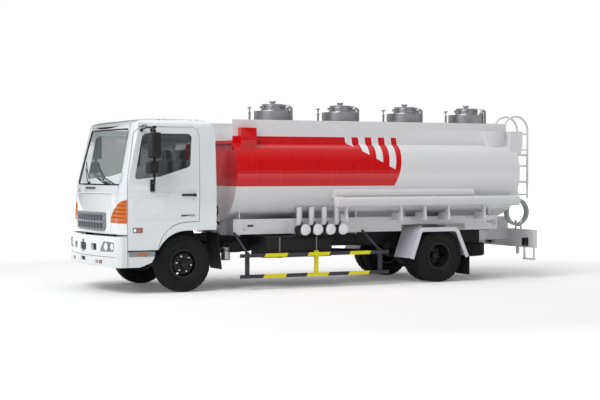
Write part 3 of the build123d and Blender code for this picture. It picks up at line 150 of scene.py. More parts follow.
class Finish:
    def __init__(self, name, colour, roughness=0.5, metallic=0.0, **constants):
        self.material = bpy.data.materials.new(name)
        self.material.use_nodes = True
        self.material.diffuse_color = (*colour, 1)
        self.tree = self.material.node_tree
        self.shader = self.tree.nodes["Principled BSDF"]
        self.colour = (*colour, 1)
        self.set("Base Color", self.colour)
        self.set("Roughness", roughness)
        self.set("Metallic", metallic)
        for socket, value in constants.items():
            self.set(socket.replace("_", " "), value)

    def set(self, socket, item):
        feed(self.tree, self.shader.inputs[socket], item)
        return self

    def node(self, kind, settings=None, sockets=None, out=0):
        return Value(self.tree, addNode(self.tree, kind, settings, sockets).outputs[out])

    def place(self):
        return self.node("TexCoord", out="Object")

    def axes(self):
        split = addNode(self.tree, "SeparateXYZ", sockets={0: self.place()})
        return [Value(self.tree, output) for output in split.outputs]

    def noise(self, scale, detail=4.0, rough=0.55, stretch=None):
        vector = self.place()
        if stretch:
            vector = self.node("Mapping", sockets={"Vector": vector, "Scale": stretch})
        sockets = {"Vector": vector, "Scale": scale, "Detail": detail, "Roughness": rough}
        return self.node("TexNoise", {"normalize": True}, sockets, out="Fac")

    def mix(self, factor, first, second):
        return self.node("Mix", {"data_type": "RGBA"}, {0: factor, 6: first, 7: second}, out=2)

    def bump(self, height, strength=0.3, distance=0.002):
        return self.node("Bump", sockets={"Height": height, "Strength": strength, "Distance": distance},
                         out="Normal")


def rgb(red, green, blue):
    return (red, green, blue, 1)


# a colour made darker or lighter
def shade(colour, factor):
    return rgb(*(part * factor for part in colour))


# finishes

paintLooks = {
    "dust": (0.42, 0.40, 0.37),
    "dustTop": 1.15,          # road dust fades out above this height
    "peelScale": 3.5,
    "coat": 0.8,
}


def paint(name, colour, roughness=0.32, dirt=0.25, coat=None, gloss=0.5):
    finish = Finish(name, colour, roughness, Coat_Roughness=0.06, Specular_IOR_Level=gloss)
    z = finish.axes()[2]
    broad = finish.noise(0.9, 3.0)
    fine = finish.noise(14.0, 6.0)
    low = 1 - z.rise(0.15, paintLooks["dustTop"])
    soil = (low * dirt * (0.4 + fine)).clamped()
    tone = finish.mix(broad * 0.04, finish.colour, shade(colour, 0.9))
    finish.set("Base Color", finish.mix(soil, tone, rgb(*paintLooks["dust"])))
    finish.set("Roughness", roughness + soil * 0.5 + fine * 0.01)
    finish.set("Coat Weight", (paintLooks["coat"] if coat is None else coat) - soil)
    finish.set("Normal", finish.bump(finish.noise(paintLooks["peelScale"], 1.0), 0.05, 0.0006))
    return finish


def smoothPlastic(name, colour, roughness=0.45, gloss=0.3):
    finish = Finish(name, colour, roughness, Specular_IOR_Level=gloss)
    fine = finish.noise(420.0, 3.0)
    worn = finish.noise(3.0, 5.0)
    finish.set("Base Color", finish.mix(worn * 0.35, finish.colour, shade(colour, 1.35)))
    finish.set("Roughness", roughness + worn * 0.12 - 0.06)
    finish.set("Normal", finish.bump(fine, 0.12, 0.0008))
    return finish


def rubber(name, colour=(0.010, 0.010, 0.011), roughness=0.72):
    finish = Finish(name, colour, roughness, Specular_IOR_Level=0.22)
    dusty = finish.noise(6.0, 6.0)
    fine = finish.noise(180.0, 4.0)
    finish.set("Base Color", finish.mix(dusty.rise(0.45, 0.8) * 0.2, finish.colour, rgb(0.045, 0.043, 0.041)))
    finish.set("Roughness", roughness - 0.08 + fine * 0.16)
    finish.set("Normal", finish.bump(fine, 0.2, 0.001))
    return finish


def brushed(name, colour, roughness=0.3, stretch=(1.0, 1.0, 60.0), scale=9.0):
    finish = Finish(name, colour, roughness, 1.0)
    lines = finish.noise(scale, 5.0, 0.6, stretch)
    blotch = finish.noise(2.2, 3.0)
    finish.set("Base Color", finish.mix(blotch * 0.3, finish.colour, shade(colour, 0.78)))
    finish.set("Roughness", roughness - 0.08 + lines * 0.2)
    finish.set("Normal", finish.bump(lines, 0.05, 0.001))
    return finish


def castMetal(name, colour, roughness=0.7, metallic=0.4):
    finish = Finish(name, colour, roughness, metallic)
    fine = finish.noise(120.0, 5.0)
    grime = finish.noise(5.0, 6.0)
    finish.set("Base Color", finish.mix(grime.rise(0.4, 0.75) * 0.6, finish.colour, rgb(0.06, 0.048, 0.038)))
    finish.set("Roughness", roughness + grime * 0.2 - 0.1)
    finish.set("Normal", finish.bump(fine, 0.3, 0.0015))
    return finish


def glassFinish(name, tint, weight):
    finish = Finish(name, tint, 0.02, Alpha=weight, IOR=1.5, Coat_Weight=0.0)
    smear = finish.noise(7.0, 4.0)
    finish.set("Roughness", 0.02 + smear * 0.03)
    finish.set("Alpha", weight + smear * 0.04)
    return finish


def lensFinish(name, colour, rib=90.0, depth=0.6):
    finish = Finish(name, colour, 0.12, Coat_Weight=0.5, Coat_Roughness=0.03, IOR=1.48)
    z = finish.axes()[2]
    ribs = (z * rib * math.pi).math("SINE")
    cells = finish.noise(60.0, 2.0)
    # the colour is darkened along the ribs: painted shade in the rib bands, with random tone from the cells
    dark = ribs.rise(-0.2, 0.9) * 0.7 + cells * 0.2
    finish.set("Base Color", finish.mix(dark, finish.colour, shade(colour, 0.45)))
    finish.set("Normal", finish.bump(ribs * 0.5 + cells * 0.3, depth, 0.003))
    return finish


def tankFinish(name):
    looks = {
        "grey": (0.76, 0.76, 0.78),
        "red": (0.62, 0.0, 0.004),
        "redTop": 2.366,
        "sideFrom": 2.30,         # above this the colours are on the side boards' outsides only
        "sideOnly": 0.948,        # and the outsides lie beyond this
        "boxes": (-1.185, -0.912, 0.958, 2.05),   # rear, front, inner side and foot of the red ends
        "stripe": (0.80, 0.81, 0.83),
        "redBottom": 1.590,
        "redRear": -3.745,        # from the front axle, at the height of its bulge
        "bulge": 0.14,
        "bulgeHeight": 2.15,
        "bulgeSpan": 0.55,
        "barFirst": 0.10,         # red left behind the last bar
        "barPitch": 0.241,
        "barWidth": 0.122,
        "bars": 4,
        "cutHeight": 2.258,       # the bars' slanted feet: height, where, and slope
        "cutAt": -2.827,
        "cutSlope": 0.523,
    }
    finish = Finish(name, looks["grey"], 0.3, Coat_Roughness=0.05, Specular_IOR_Level=0.2)
    x, y, z = finish.axes()
    along = x - frontAxleX
    lean = ((z - looks["bulgeHeight"]) / looks["bulgeSpan"]).math("POWER", 2.0) * looks["bulge"]
    rear = along - lean - looks["redRear"]        # how far ahead of the red's rear edge
    onSides = ((abs(y) > looks["sideOnly"]) + (z < looks["sideFrom"])).clamped()
    red = z.between(looks["redBottom"], looks["redTop"]) * (rear > 0.0) * onSides
    boxRear, boxFront, boxInner, boxFoot = looks["boxes"]
    box = along.between(boxRear, boxFront) * (abs(y) > boxInner) * (z > boxFoot)
    red = (red + box).clamped()
    phase = (rear - looks["barFirst"]) / looks["barPitch"]
    inBars = (phase > 0.0) * (phase < looks["bars"])
    inBar = phase.math("FRACT") < looks["barWidth"] / looks["barPitch"]
    cut = z > (along - looks["cutAt"]) * looks["cutSlope"] + looks["cutHeight"]
    bars = inBars * inBar * cut * onSides * (z < looks["redTop"])
    broad = finish.noise(0.8, 2.0)
    fine = finish.noise(16.0, 6.0)
    streak = finish.noise(3.0, 5.0, 0.6, (6.0, 6.0, 0.5))
    grey = finish.mix(broad * 0.12, rgb(*looks["grey"]), rgb(0.70, 0.70, 0.72))
    colour = finish.mix(red, grey, rgb(*looks["red"]))
    colour = finish.mix(bars.clamped(), colour, rgb(*looks["stripe"]))
    soil = (streak.rise(0.55, 0.9) * 0.10 + (1 - z.rise(0.9, 1.25)) * 0.15 * fine).clamped()
    finish.set("Base Color", finish.mix(soil, colour, rgb(0.45, 0.43, 0.41)))
    finish.set("Roughness", 0.26 + soil * 0.5 + fine * 0.06)
    finish.set("Coat Weight", 0.6 - soil)
    finish.set("Normal", finish.bump(finish.noise(1.6, 2.0), 0.05, 0.004))
    return finish


def guardFinish(name):
    looks = {
        "base": (0.036, 0.034, 0.045),
        "yellow": (0.78, 0.72, 0.0),
        "blocks": [(-1.275, -1.660), (-2.020, -2.400), (-2.760, -3.130)],   # from the front axle
        "slant": 0.55,
        "post": (-2.165, -2.233),
        "rails": (0.215, 0.500),  # the heights that the slant is counted from
        "lowTop": 0.26,           # top of the lower rail
        "highFoot": 0.44,         # foot of the upper rail
        "between": 0.35,
        "top": 0.60,
    }
    finish = Finish(name, looks["base"], 0.5)
    x, y, z = finish.axes()
    along = x - frontAxleX
    rail = (z > looks["highFoot"]) + (z < looks["lowTop"])
    foot = (z > looks["between"]) * (looks["rails"][1] - looks["rails"][0]) + looks["rails"][0]
    skew = along + (z - foot) * looks["slant"]
    blocks = sum(skew.between(back, front) for front, back in looks["blocks"])
    band = along.between(looks["post"][1], looks["post"][0])
    mask = (blocks * rail + band).clamped() * (z < looks["top"])
    fine = finish.noise(20.0, 6.0)
    chip = fine.rise(0.66, 0.72)
    colour = finish.mix(mask, finish.colour, rgb(*looks["yellow"]))
    finish.set("Base Color", finish.mix(chip * 0.5, colour, rgb(0.09, 0.07, 0.06)))
    finish.set("Roughness", 0.42 + fine * 0.2)
    finish.set("Normal", finish.bump(fine, 0.08, 0.001))
    return finish


def fabric(name, colour, weave=900.0):
    finish = Finish(name, colour, 0.85, Sheen_Weight=0.3, Sheen_Roughness=0.5)
    x, y, z = finish.axes()
    warp = (x * weave).math("SINE")
    weft = ((y + z) * weave).math("SINE")
    cloth = warp * weft
    speck = finish.noise(90.0, 3.0)
    finish.set("Base Color", finish.mix(cloth * 0.2 + speck * 0.3, finish.colour, shade(colour, 1.5)))
    finish.set("Normal", finish.bump(cloth, 0.3, 0.0008))
    return finish


def hoseFinish(name):
    looks = {"colour": (0.50, 0.53, 0.55), "rib": (0.16, 0.17, 0.19), "turns": 120.0}
    finish = Finish(name, looks["colour"], 0.25, Coat_Weight=0.4, Coat_Roughness=0.1)
    x, y, z = finish.axes()
    ribs = ((z * 0.8 + x) * looks["turns"] * math.pi).math("SINE").rise(0.0, 0.6)
    cloud = finish.noise(30.0, 4.0)
    finish.set("Base Color", finish.mix(ribs * 0.5 + cloud * 0.2, finish.colour, rgb(*looks["rib"])))
    finish.set("Normal", finish.bump(ribs, 0.4, 0.002))
    return finish


finishes = {
    "cabWhite": paint("cab_white", (0.76, 0.80, 0.82), 0.25, 0.18),
    "tank": tankFinish("tank_paint"),
    "lightGrey": paint("light_grey_paint", (0.68, 0.68, 0.70), 0.35, 0.3),
    "red": paint("red_paint", (0.62, 0.0, 0.004), 0.3, 0.0, 0.5, 0.2),
    "fenderLilac": paint("fender_paint", (0.66, 0.66, 0.72), 0.35, 0.25),
    "chassisBlack": paint("chassis_black", (0.007, 0.007, 0.008), 0.5, 0.05, 0.04, 0.2),
    "rimBlack": paint("rim_black", (0.005, 0.005, 0.006), 0.38, 0.03, 0.10, 0.25),
    "guard": guardFinish("guard_paint"),
    "stainless": brushed("stainless", (0.40, 0.40, 0.42), 0.36, (60.0, 60.0, 1.0)),
    "chrome": Finish("chrome", (0.82, 0.83, 0.85), 0.08, 1.0),
    "cast": castMetal("cast_metal", (0.05, 0.05, 0.052)),
    "tyre": rubber("tyre_rubber"),
    "rubber": rubber("black_rubber", (0.008, 0.008, 0.009), 0.6),
    "blackPlastic": smoothPlastic("black_plastic", (0.010, 0.010, 0.011), 0.42),
    "grillePlastic": smoothPlastic("grille_plastic", (0.16, 0.18, 0.20), 0.35),
    "whiteCap": smoothPlastic("white_cap", (0.74, 0.74, 0.76), 0.35),
    "cloth": fabric("seat_cloth", (0.06, 0.07, 0.085)),
    "glass": glassFinish("window_glass", (0.62, 0.72, 0.72), 0.07),
    "sideGlass": glassFinish("side_glass", (0.015, 0.022, 0.022), 0.52),
    "amber": lensFinish("amber_lens", (0.70, 0.14, 0.0), 34.0, 0.9),
    "redLens": lensFinish("red_lens", (0.45, 0.005, 0.005)),
    "badgeGrey": smoothPlastic("badge_grey", (0.09, 0.10, 0.11), 0.35),
    "stripGrey": smoothPlastic("strip_grey", (0.24, 0.26, 0.29), 0.4),
    "frameGrey": smoothPlastic("frame_grey", (0.20, 0.22, 0.24), 0.3, gloss=0.6),
    "lampChrome": brushed("lamp_chrome", (0.80, 0.82, 0.84), 0.10, (4.0, 90.0, 4.0)),
    "mirrorGlass": brushed("mirror_glass", (0.70, 0.74, 0.76), 0.03, (1.0, 1.0, 1.0), 1.5),
    "nutSteel": brushed("nut_steel", (0.22, 0.22, 0.23), 0.4, (8.0, 8.0, 8.0)),
    "darkSteel": brushed("dark_steel", (0.26, 0.26, 0.27), 0.42, (8.0, 8.0, 8.0)),
    "dullSilver": brushed("dull_silver", (0.55, 0.56, 0.58), 0.35, (3.0, 3.0, 30.0)),
    "hose": hoseFinish("clear_hose"),
    "clearLens": glassFinish("lamp_glass", (0.75, 0.80, 0.83), 0.25),
}
chrome = finishes["chrome"]
chrome.set("Roughness", 0.06 + chrome.noise(8.0, 4.0) * 0.08)
print("finishes made:", len(finishes))


# making meshes from the solids

def link(mesh, name, finish, body):
    obj = bpy.data.objects.new(name, mesh)
    scene.collection.objects.link(obj)
    mesh.materials.clear()
    mesh.materials.append(finishes[finish].material)
    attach(obj, body)
    return obj


def smoothByAngle(mesh, degrees):
    mesh.polygons.foreach_set("use_smooth", [True] * len(mesh.polygons))
    mesh.set_sharp_from_angle(angle=math.radians(degrees))


def soften(obj, width, segments, degrees):
    bevel = obj.modifiers.new("edges", "BEVEL")
    bevel.width = width
    bevel.segments = segments
    bevel.limit_method = "ANGLE"
    bevel.angle_limit = math.radians(degrees)
    bevel.harden_normals = True
    bevel.use_clamp_overlap = True


# makes what the modifiers give the object's own mesh
def settle(obj):
    obj.data = bpy.data.meshes.new_from_object(obj.evaluated_get(bpy.context.evaluated_depsgraph_get()))
    obj.modifiers.clear()


dressLooks = {"merge": 0.00002, "flat": 0.6, "sharp": 32.0}


# a node's own shape with merged faces, rounded edges and its finish
def dress(nodeName, finish, edge):
    source = nodes[nodeName]
    mesh = source.data.copy()
    work = bmesh.new()
    work.from_mesh(mesh)
    bmesh.ops.remove_doubles(work, verts=work.verts, dist=dressLooks["merge"])
    bmesh.ops.dissolve_limit(work, angle_limit=math.radians(dressLooks["flat"]), verts=work.verts,
                             edges=work.edges)
    work.to_mesh(mesh)
    work.free()
    smoothByAngle(mesh, dressLooks["sharp"])
    obj = link(mesh, nodeName + "_skin", finish, source["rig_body"])
    if edge:
        soften(obj, edge, 2, dressLooks["sharp"])
    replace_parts(obj, nodeName)


def coat(nodeName, finish):
    materials = nodes[nodeName].data.materials
    materials.clear()
    materials.append(finishes[finish].material)


plainCoats = {
    "chassisBlack": ["ladder_frame", "front_axle", "leaf_springs", "propeller_shaft", "rear_axle",
                     "cab_hinge", "knuckle_left", "knuckle_right", "battery_box", "air_tanks", "silencer",
                     "fuel_tank"],
    "cast": ["engine"],
    "rimBlack": ["front_wheel_left", "front_wheel_right", "rear_wheels_left", "rear_wheels_right"],
    "tyre": ["front_tyre_left", "front_tyre_right", "rear_tyres_left", "rear_tyres_right", "spare_wheel"],
    "cabWhite": ["cab_steps"],
    "rubber": ["mud_flaps"],
    "blackPlastic": ["rear_lamps", "front_mudguards", "wipers", "dashboard", "steering_wheel"],
    "glass": ["cab_glass"],
    "sideGlass": ["door_glass_left", "door_glass_right"],
    "cloth": ["seats"],
    "lightGrey": ["outlets", "hose_tubes", "rear_beam"],
    "stainless": ["manhole_collars", "vent_pipes", "manhole_lid_1", "manhole_lid_2", "manhole_lid_3",
                  "manhole_lid_4"],
    "amber": ["corner_lamps"],
    "clearLens": ["headlamps"],
    "grillePlastic": ["grille"],
    "guard": ["side_guards"],
}
for finish, names in plainCoats.items():
    for nodeName in names:
        coat(nodeName, finish)
for nodeName, finish, edge in [
    ("cab_shell", "cabWhite", 0.006), ("door_left", "cabWhite", 0.005), ("door_right", "cabWhite", 0.005),
    ("front_lid", "cabWhite", 0.006), ("front_bumper", "cabWhite", 0.008), ("tank_shell", "tank", 0.0),
    ("top_coaming", "tank", 0.004), ("tank_subframe", "lightGrey", 0.004),
    ("rear_fenders", "fenderLilac", 0.003), ("ladder", "lightGrey", 0.0),
]:
    dress(nodeName, finish, edge)
print("frame dressed")


# each point of a path, and the way the path runs there
def courses(points, closed):
    total = len(points)
    for place, point in enumerate(points):
        before = points[(place - 1) % total] if closed or place else point
        after = points[(place + 1) % total] if closed or place < total - 1 else point
        yield point, (after - before).normalized()


# a circle of points; the two spokes give its radius and the plane it lies in
def circle(centre, first, second, count):
    points = []
    for step in range(count):
        turn = 2 * math.pi * step / count
        points.append([c + math.cos(turn) * a + math.sin(turn) * b for c, a, b in zip(centre, first, second)])
    return points


# a gatherer of plain shapes that end up as one mesh
class Shapes:
    def __init__(self):
        self.work = bmesh.new()

    # opposite corners, in any order
    def box(self, corner, opposite):
        xs, ys, zs = [sorted(pair) for pair in zip(corner, opposite)]
        made = [self.work.verts.new((x, y, z)) for x in xs for y in ys for z in zs]
        for ring in ((0, 1, 3, 2), (4, 6, 7, 5), (0, 4, 5, 1), (2, 3, 7, 6), (0, 2, 6, 4), (1, 5, 7, 3)):
            self.work.faces.new([made[place] for place in ring])
        return self

    def rows(self, rows, closed=False):
        made = [[self.work.verts.new(point) for point in row] for row in rows]
        after = made[1:] + made[:1] if closed else made[1:]
        count = len(made[0])
        for first, second in zip(made, after):
            for place in range(count):
                back = (place + 1) % count
                self.work.faces.new((first[place], first[back], second[back], second[place]))
        if not closed:
            self.work.faces.new(list(reversed(made[0])))
            self.work.faces.new(made[-1])
        return self

    # profile: pairs of distance along the axis and radius
    def turned(self, centre, axis, profile, count=32, oval=(1.0, 1.0), start=0.0):
        axis = Vector(axis).normalized()
        across = Vector((0, 0, 1)) if abs(axis.z) < 0.7 else Vector((1, 0, 0))
        across = (across - axis * across.dot(axis)).normalized()
        other = axis.cross(across)
        rows = []
        for along, radius in profile:
            row = []
            for step in range(count):
                turn = start + 2 * math.pi * step / count
                spoke = across * math.cos(turn) * oval[0] + other * math.sin(turn) * oval[1]
                row.append(Vector(centre) + axis * along + spoke * radius)
            rows.append(row)
        return self.rows(rows)

    def dome(self, centre, axis, radius, height, count=28, oval=(1.0, 1.0), foot=0.004):
        profile = [(-foot, radius)]
        profile += [(height * math.sin(t), radius * math.cos(t)) for t in (0.0, 0.4, 0.8, 1.15, 1.4)]
        return self.turned(centre, axis, profile, count, oval)

    def pipe(self, path, radius, count=12, closed=False):
        rows = []
        up = None
        for point, along in courses([Vector(point) for point in path], closed):
            if up is None:
                up = along.orthogonal().normalized()
            else:
                up = (up - along * up.dot(along)).normalized()
            side = along.cross(up)
            turns = [2 * math.pi * step / count for step in range(count)]
            rows.append([point + (up * math.cos(t) + side * math.sin(t)) * radius for t in turns])
        return self.rows(rows, closed)

    # a flat strip lying on a surface: its path, the way it faces, and its section
    def band(self, path, facing, width, thick, closed=False, shift=0.0, sink=0.002):
        points = [Vector(point) for point in path]
        middle = sum(points, Vector()) / len(points)
        normal = Vector(facing).normalized()
        bottom, top = -normal * sink, normal * thick
        rows = []
        for point, along in courses(points, closed):
            side = along.cross(normal).normalized()
            if closed and side.dot(point - middle) < 0:
                side = -side
            low, high = side * (shift - width / 2), side * (shift + width / 2)
            inward = side * (min(thick, width / 2) * 0.5)
            rows.append([point + low + bottom, point + high + bottom, point + high + top * 0.5,
                         point + high - inward + top, point + low + inward + top, point + low + top * 0.5])
        return self.rows(rows, closed)

    def make(self, name, finish, body, edge=0.0, degrees=35.0, segments=2):
        bmesh.ops.recalc_face_normals(self.work, faces=self.work.faces)
        mesh = bpy.data.meshes.new(name)
        self.work.to_mesh(mesh)
        self.work.free()
        smoothByAngle(mesh, degrees)
        obj = link(mesh, name, finish, body)
        if edge:
            soften(obj, edge, segments, degrees)
        return obj


# a path with its corners rounded
def rounded(path, radius, steps=5, closed=False):
    points = [Vector(point) for point in path]
    total = len(points)
    result = []
    for place, point in enumerate(points):
        if not closed and place in (0, total - 1):
            result.append(point)
            continue
        before, after = points[(place - 1) % total], points[(place + 1) % total]
        reach = min(radius, (before - point).length * 0.48, (after - point).length * 0.48)
        start = point + (before - point).normalized() * reach
        end = point + (after - point).normalized() * reach
        for step in range(steps + 1):
            t = step / steps
            result.append(start * (1 - t) ** 2 + point * 2 * t * (1 - t) + end * t * t)
    return result


# a place along the truck, counted from the front axle
def fx(value):
    return frontAxleX + value


faceTrees = {}


# where a ray meets the solids: the spot, and the way the face there looks
def surface(nodeNames, start, direction):
    hits = []
    for nodeName in nodeNames:
        if nodeName not in faceTrees:
            data = nodes[nodeName].data
            corners = [vertex.co for vertex in data.vertices]
            faceTrees[nodeName] = BVHTree.FromPolygons(corners, [list(p.vertices) for p in data.polygons])
        spot, normal, face, distance = faceTrees[nodeName].ray_cast(Vector(start), Vector(direction))
        if spot is not None:
            hits.append((distance, spot, normal))
    return min(hits, key=lambda hit: hit[0])[1:]


# a spot on one side, seen from beside it
def onSide(x, z, side, nodeNames=("door_left", "door_right", "cab_shell", "front_lid")):
    return surface(nodeNames, (x, side * 1.6, z), (0, -side, 0))[0]


# the longest edge loop round the faces of a node that look one way
def rimPath(nodeName, direction, least=0.7):
    work = bmesh.new()
    work.from_mesh(nodes[nodeName].data)
    bmesh.ops.remove_doubles(work, verts=work.verts, dist=dressLooks["merge"])
    facing = {face for face in work.faces if face.normal.dot(Vector(direction).normalized()) > least}
    near = {}
    for edge in work.edges:
        if sum(face in facing for face in edge.link_faces) == 1:
            first, second = edge.verts
            near.setdefault(first, []).append(second)
            near.setdefault(second, []).append(first)
    loops = []
    while near:
        vert = next(iter(near))
        loop = []
        while vert in near:
            loop.append(vert)
            nexts = [other for other in near.pop(vert) if other in near]
            if not nexts:
                break
            vert = nexts[0]
        loops.append([v.co.copy() for v in loop])
    work.free()
    longest = sorted(loops, key=lambda loop: sum((a - b).length for a, b in zip(loop, loop[1:])))[-1]
    return [point for place, point in enumerate(longest) if (point - longest[place - 1]).length > 0.002]


# black seals round the glass
sealLooks = {
    "width": 0.030,
    "screenWidth": 0.062,
    "thick": 0.009,
    "shift": 0.010,
}
for body, nodeName, direction, width in [
    ("cab", "cab_glass", (1, 0, 0.25), sealLooks["screenWidth"]),
    ("cab", "cab_glass", (-1, 0, 0), sealLooks["screenWidth"]),
    ("door_left", "door_glass_left", (0, 1, 0.1), sealLooks["width"]),
    ("door_right", "door_glass_right", (0, -1, 0.1), sealLooks["width"]),
]:
    seal = Shapes().band(rimPath(nodeName, direction), direction, width, sealLooks["thick"], True,
                         sealLooks["shift"])
    seal.make(nodeName + "_seal" + ("_rear" if direction[0] < 0 else ""), "rubber", body)

# pressed lines, handles, locks, side lamps and plain plates on the doors
doorLooks = {
    "lines": [      # closed or not, and the corners: from the front axle, height
        (True, [(0.864, 1.413), (0.52, 1.462), (0.161, 1.516), (0.226, 1.338), (0.337, 1.184), (0.465, 1.126),
                (0.858, 1.089)]),
        (True, [(0.832, 1.395), (0.254, 1.474), (0.300, 1.356), (0.410, 1.190), (0.556, 1.150),
                (0.832, 1.120)]),
        (False, [(0.915, 1.439), (0.52, 1.496), (-0.185, 1.553)]),
        (False, [(0.915, 1.083), (0.447, 1.100), (0.152, 1.121), (-0.015, 1.152), (-0.185, 1.166)]),
    ],
    "line": 0.0055,
    "lineSink": 0.0010,
    "lineBend": 0.11,
    "handle": (0.083, -0.140, 1.470),       # front, back, height
    "cup": [(-0.004, 0.056), (0.001, 0.056), (0.004, 0.050), (0.004, 0.046)],
    "cupOval": (0.72, 1.75),
    "grip": (0.030, 0.017, 0.014),          # out, down, up
    "gripEnd": (0.036, 0.022, 0.020, 0.004, 0.045),     # out, down, up, behind, ahead
    "key": (-0.106, 1.388),
    "barrel": [(-0.004, 0.014), (0.005, 0.014), (0.006, 0.011)],
    "slot": (0.0015, 0.004, 0.008, 0.006),  # half width, in, out, half height
    "plates": [     # name, centre, back, front, in, out, half height, finish, edge, segments
        ("side_lamp_frame_", (0.779, 0.952), -0.078, 0.078, -0.004, 0.010, 0.037, "grillePlastic", 0.014, 4),
        ("side_lamp_", (0.779, 0.952), -0.064, 0.022, 0.0, 0.017, 0.025, "amber", 0.006, 3),
        ("side_lamp_clear_", (0.779, 0.952), 0.028, 0.064, 0.0, 0.015, 0.024, "lampChrome", 0.006, 3),
        ("plain_badge_", (-0.020, 1.161), -0.112, 0.112, -0.001, 0.003, 0.014, "badgeGrey", 0.003, 2),
    ],
}
for word, side in sides.items():
    body = "door_" + word
    face = (0, side, 0)
    lines = Shapes()
    for closed, corners in doorLooks["lines"]:
        path = [onSide(fx(x), z, side) - Vector((0, side * doorLooks["lineSink"], 0)) for x, z in corners]
        lines.pipe(rounded(path, doorLooks["lineBend"], 6, closed), doorLooks["line"], 10, closed)
    lines.make("door_lines_" + word, "cabWhite", body)
    front, back, height = doorLooks["handle"]
    spot = onSide(fx((front + back) / 2), height, side)
    Shapes().turned(spot, face, doorLooks["cup"], 40, doorLooks["cupOval"]).make(
        "handle_cup_" + word, "cabWhite", body)
    out, down, up = doorLooks["grip"]
    grip = Shapes().box((fx(back), spot.y, height - down), (fx(front), spot.y + side * out, height + up))
    out, down, up, behind, ahead = doorLooks["gripEnd"]
    grip.box((fx(back) - behind, spot.y, height - down), (fx(back) + ahead, spot.y + side * out, height + up))
    grip.make("handle_" + word, "blackPlastic", body, 0.007, segments=4)
    x, z = doorLooks["key"]
    spot = onSide(fx(x), z, side)
    Shapes().turned(spot, face, doorLooks["barrel"], 24).make("lock_" + word, "chrome", body)
    wide, low, high, tall = doorLooks["slot"]
    Shapes().box(spot + Vector((-wide, side * low, -tall)), spot + Vector((wide, side * high, tall))).make(
        "lock_slot_" + word, "blackPlastic", body)
    for name, (x, z), back, front, low, high, tall, finish, edge, segments in doorLooks["plates"]:
        spot = onSide(fx(x), z, side)
        Shapes().box((spot.x + back, spot.y + side * low, z - tall),
                     (spot.x + front, spot.y + side * high, z + tall)).make(
            name + word, finish, body, edge, segments=segments)

# mirrors: rounded heads on a bent tube, with joints and a lower pad
mirrorLooks = {
    "heads": [      # ahead, foot, top, width, depth
        (0.590, 2.017, 2.395, 0.196, 0.150),
        (0.625, 1.784, 1.970, 0.190, 0.150),
    ],
    "rim": 0.018,
    "outward": 1.370,
    "post": (0.596, 1.640, 2.475),
    "stays": (0.540, 0.700),
    "reach": 1.240,
    "clamps": (1.760, 1.995, 2.410),
    "clamp": [(-0.022, 0.020), (-0.018, 0.024), (0.018, 0.024), (0.022, 0.020)],
    "cap": [(-0.02, 0.022), (-0.012, 0.030), (0.012, 0.030), (0.02, 0.020)],
    "pad": ((0.515, 1.140, 1.520), (0.585, 1.178, 1.700)),
}
for word, side in sides.items():
    body = "door_" + word
    out = side * mirrorLooks["outward"]
    rim = mirrorLooks["rim"]
    heads = Shapes()
    faces = Shapes()
    for ahead, low, high, width, depth in mirrorLooks["heads"]:
        back, half = fx(ahead) - depth / 2, width / 2
        heads.box((back, out - half, low), (fx(ahead) + depth / 2, out + half, high))
        faces.box((back - 0.001, out - half + rim, low + rim), (back + 0.006, out + half - rim, high - rim))
    heads.make("mirror_heads_" + word, "blackPlastic", body, 0.034, segments=6)
    faces.make("mirror_glass_" + word, "mirrorGlass", body, 0.003)
    place, low, high = mirrorLooks["post"]
    post, arm, reach = fx(place), out + side * 0.004, side * mirrorLooks["reach"]
    tubes = Shapes()
    tubes.pipe(rounded([(post, out, low), (post, out, high)], 0.03), 0.014, 16)
    for x in mirrorLooks["stays"]:
        path = [(post, arm, 2.455), (fx((x + place) / 2), reach, 2.470), (fx(x), side * 1.084, 2.440)]
        tubes.pipe(rounded(path, 0.06), 0.011, 14)
    path = [(post, arm, 1.655), (fx(0.575), reach, 1.650), (fx(0.550), side * 1.150, 1.655)]
    tubes.pipe(rounded(path, 0.05), 0.012, 14)
    for z in mirrorLooks["clamps"]:
        tubes.turned((post, out, z), (0, 0, 1), mirrorLooks["clamp"], 20)
    tubes.turned((post, out, 2.470), (0, 0, 1), mirrorLooks["cap"], 20)
    tubes.make("mirror_frame_" + word, "blackPlastic", body)
    feet = Shapes()
    for x in mirrorLooks["stays"]:
        feet.dome(onSide(fx(x), 2.432, side), (0, side, 0.35), 0.026, 0.022, 20)
    feet.make("mirror_feet_" + word, "blackPlastic", body)
    pad = Shapes().box(*[(fx(x), side * y, z) for x, y, z in mirrorLooks["pad"]])
    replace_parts(pad.make("mirror_pad_" + word, "blackPlastic", body, 0.014, segments=4), "mirror_" + word)

# wheels: tyres with ribs, zigzag grooves and shoulder lugs, nuts, washers and caps
tyreLooks = {
    "wall": [                 # across, radius: from the bead to the shoulder
        (0.078, 0.2065), (0.078, 0.224), (0.086, 0.234), (0.1000, 0.252), (0.1095, 0.274), (0.1155, 0.300),
        (0.1175, 0.324), (0.1172, 0.340), (0.1178, 0.343), (0.1165, 0.347), (0.1148, 0.362), (0.1118, 0.380),
        (0.1125, 0.384), (0.1095, 0.392), (0.1055, 0.405), (0.1020, 0.4165),
    ],
    "grooves": {"front": [(0.066, 0.0065), (0.022, 0.0065)], "rear": [(0.060, 0.009), (0.020, 0.008)]},
    "zig": {"front": 0.003, "rear": 0.0065},
    "depth": 0.011,
    "crown": 0.430,
    "drop": 0.004,            # how much lower the tread is at its edges
    "treadHalf": 0.098,
    "shoulder": [(0.0975, True), (0.0860, True), (0.080, False)],     # across, and whether lugs cut it
    "lug": {"front": 0.004, "rear": 0.009},
    "lugPitch": 6,
    "lugSteps": 2,
    "steps": 192,
    "twinShift": 0.135,
}


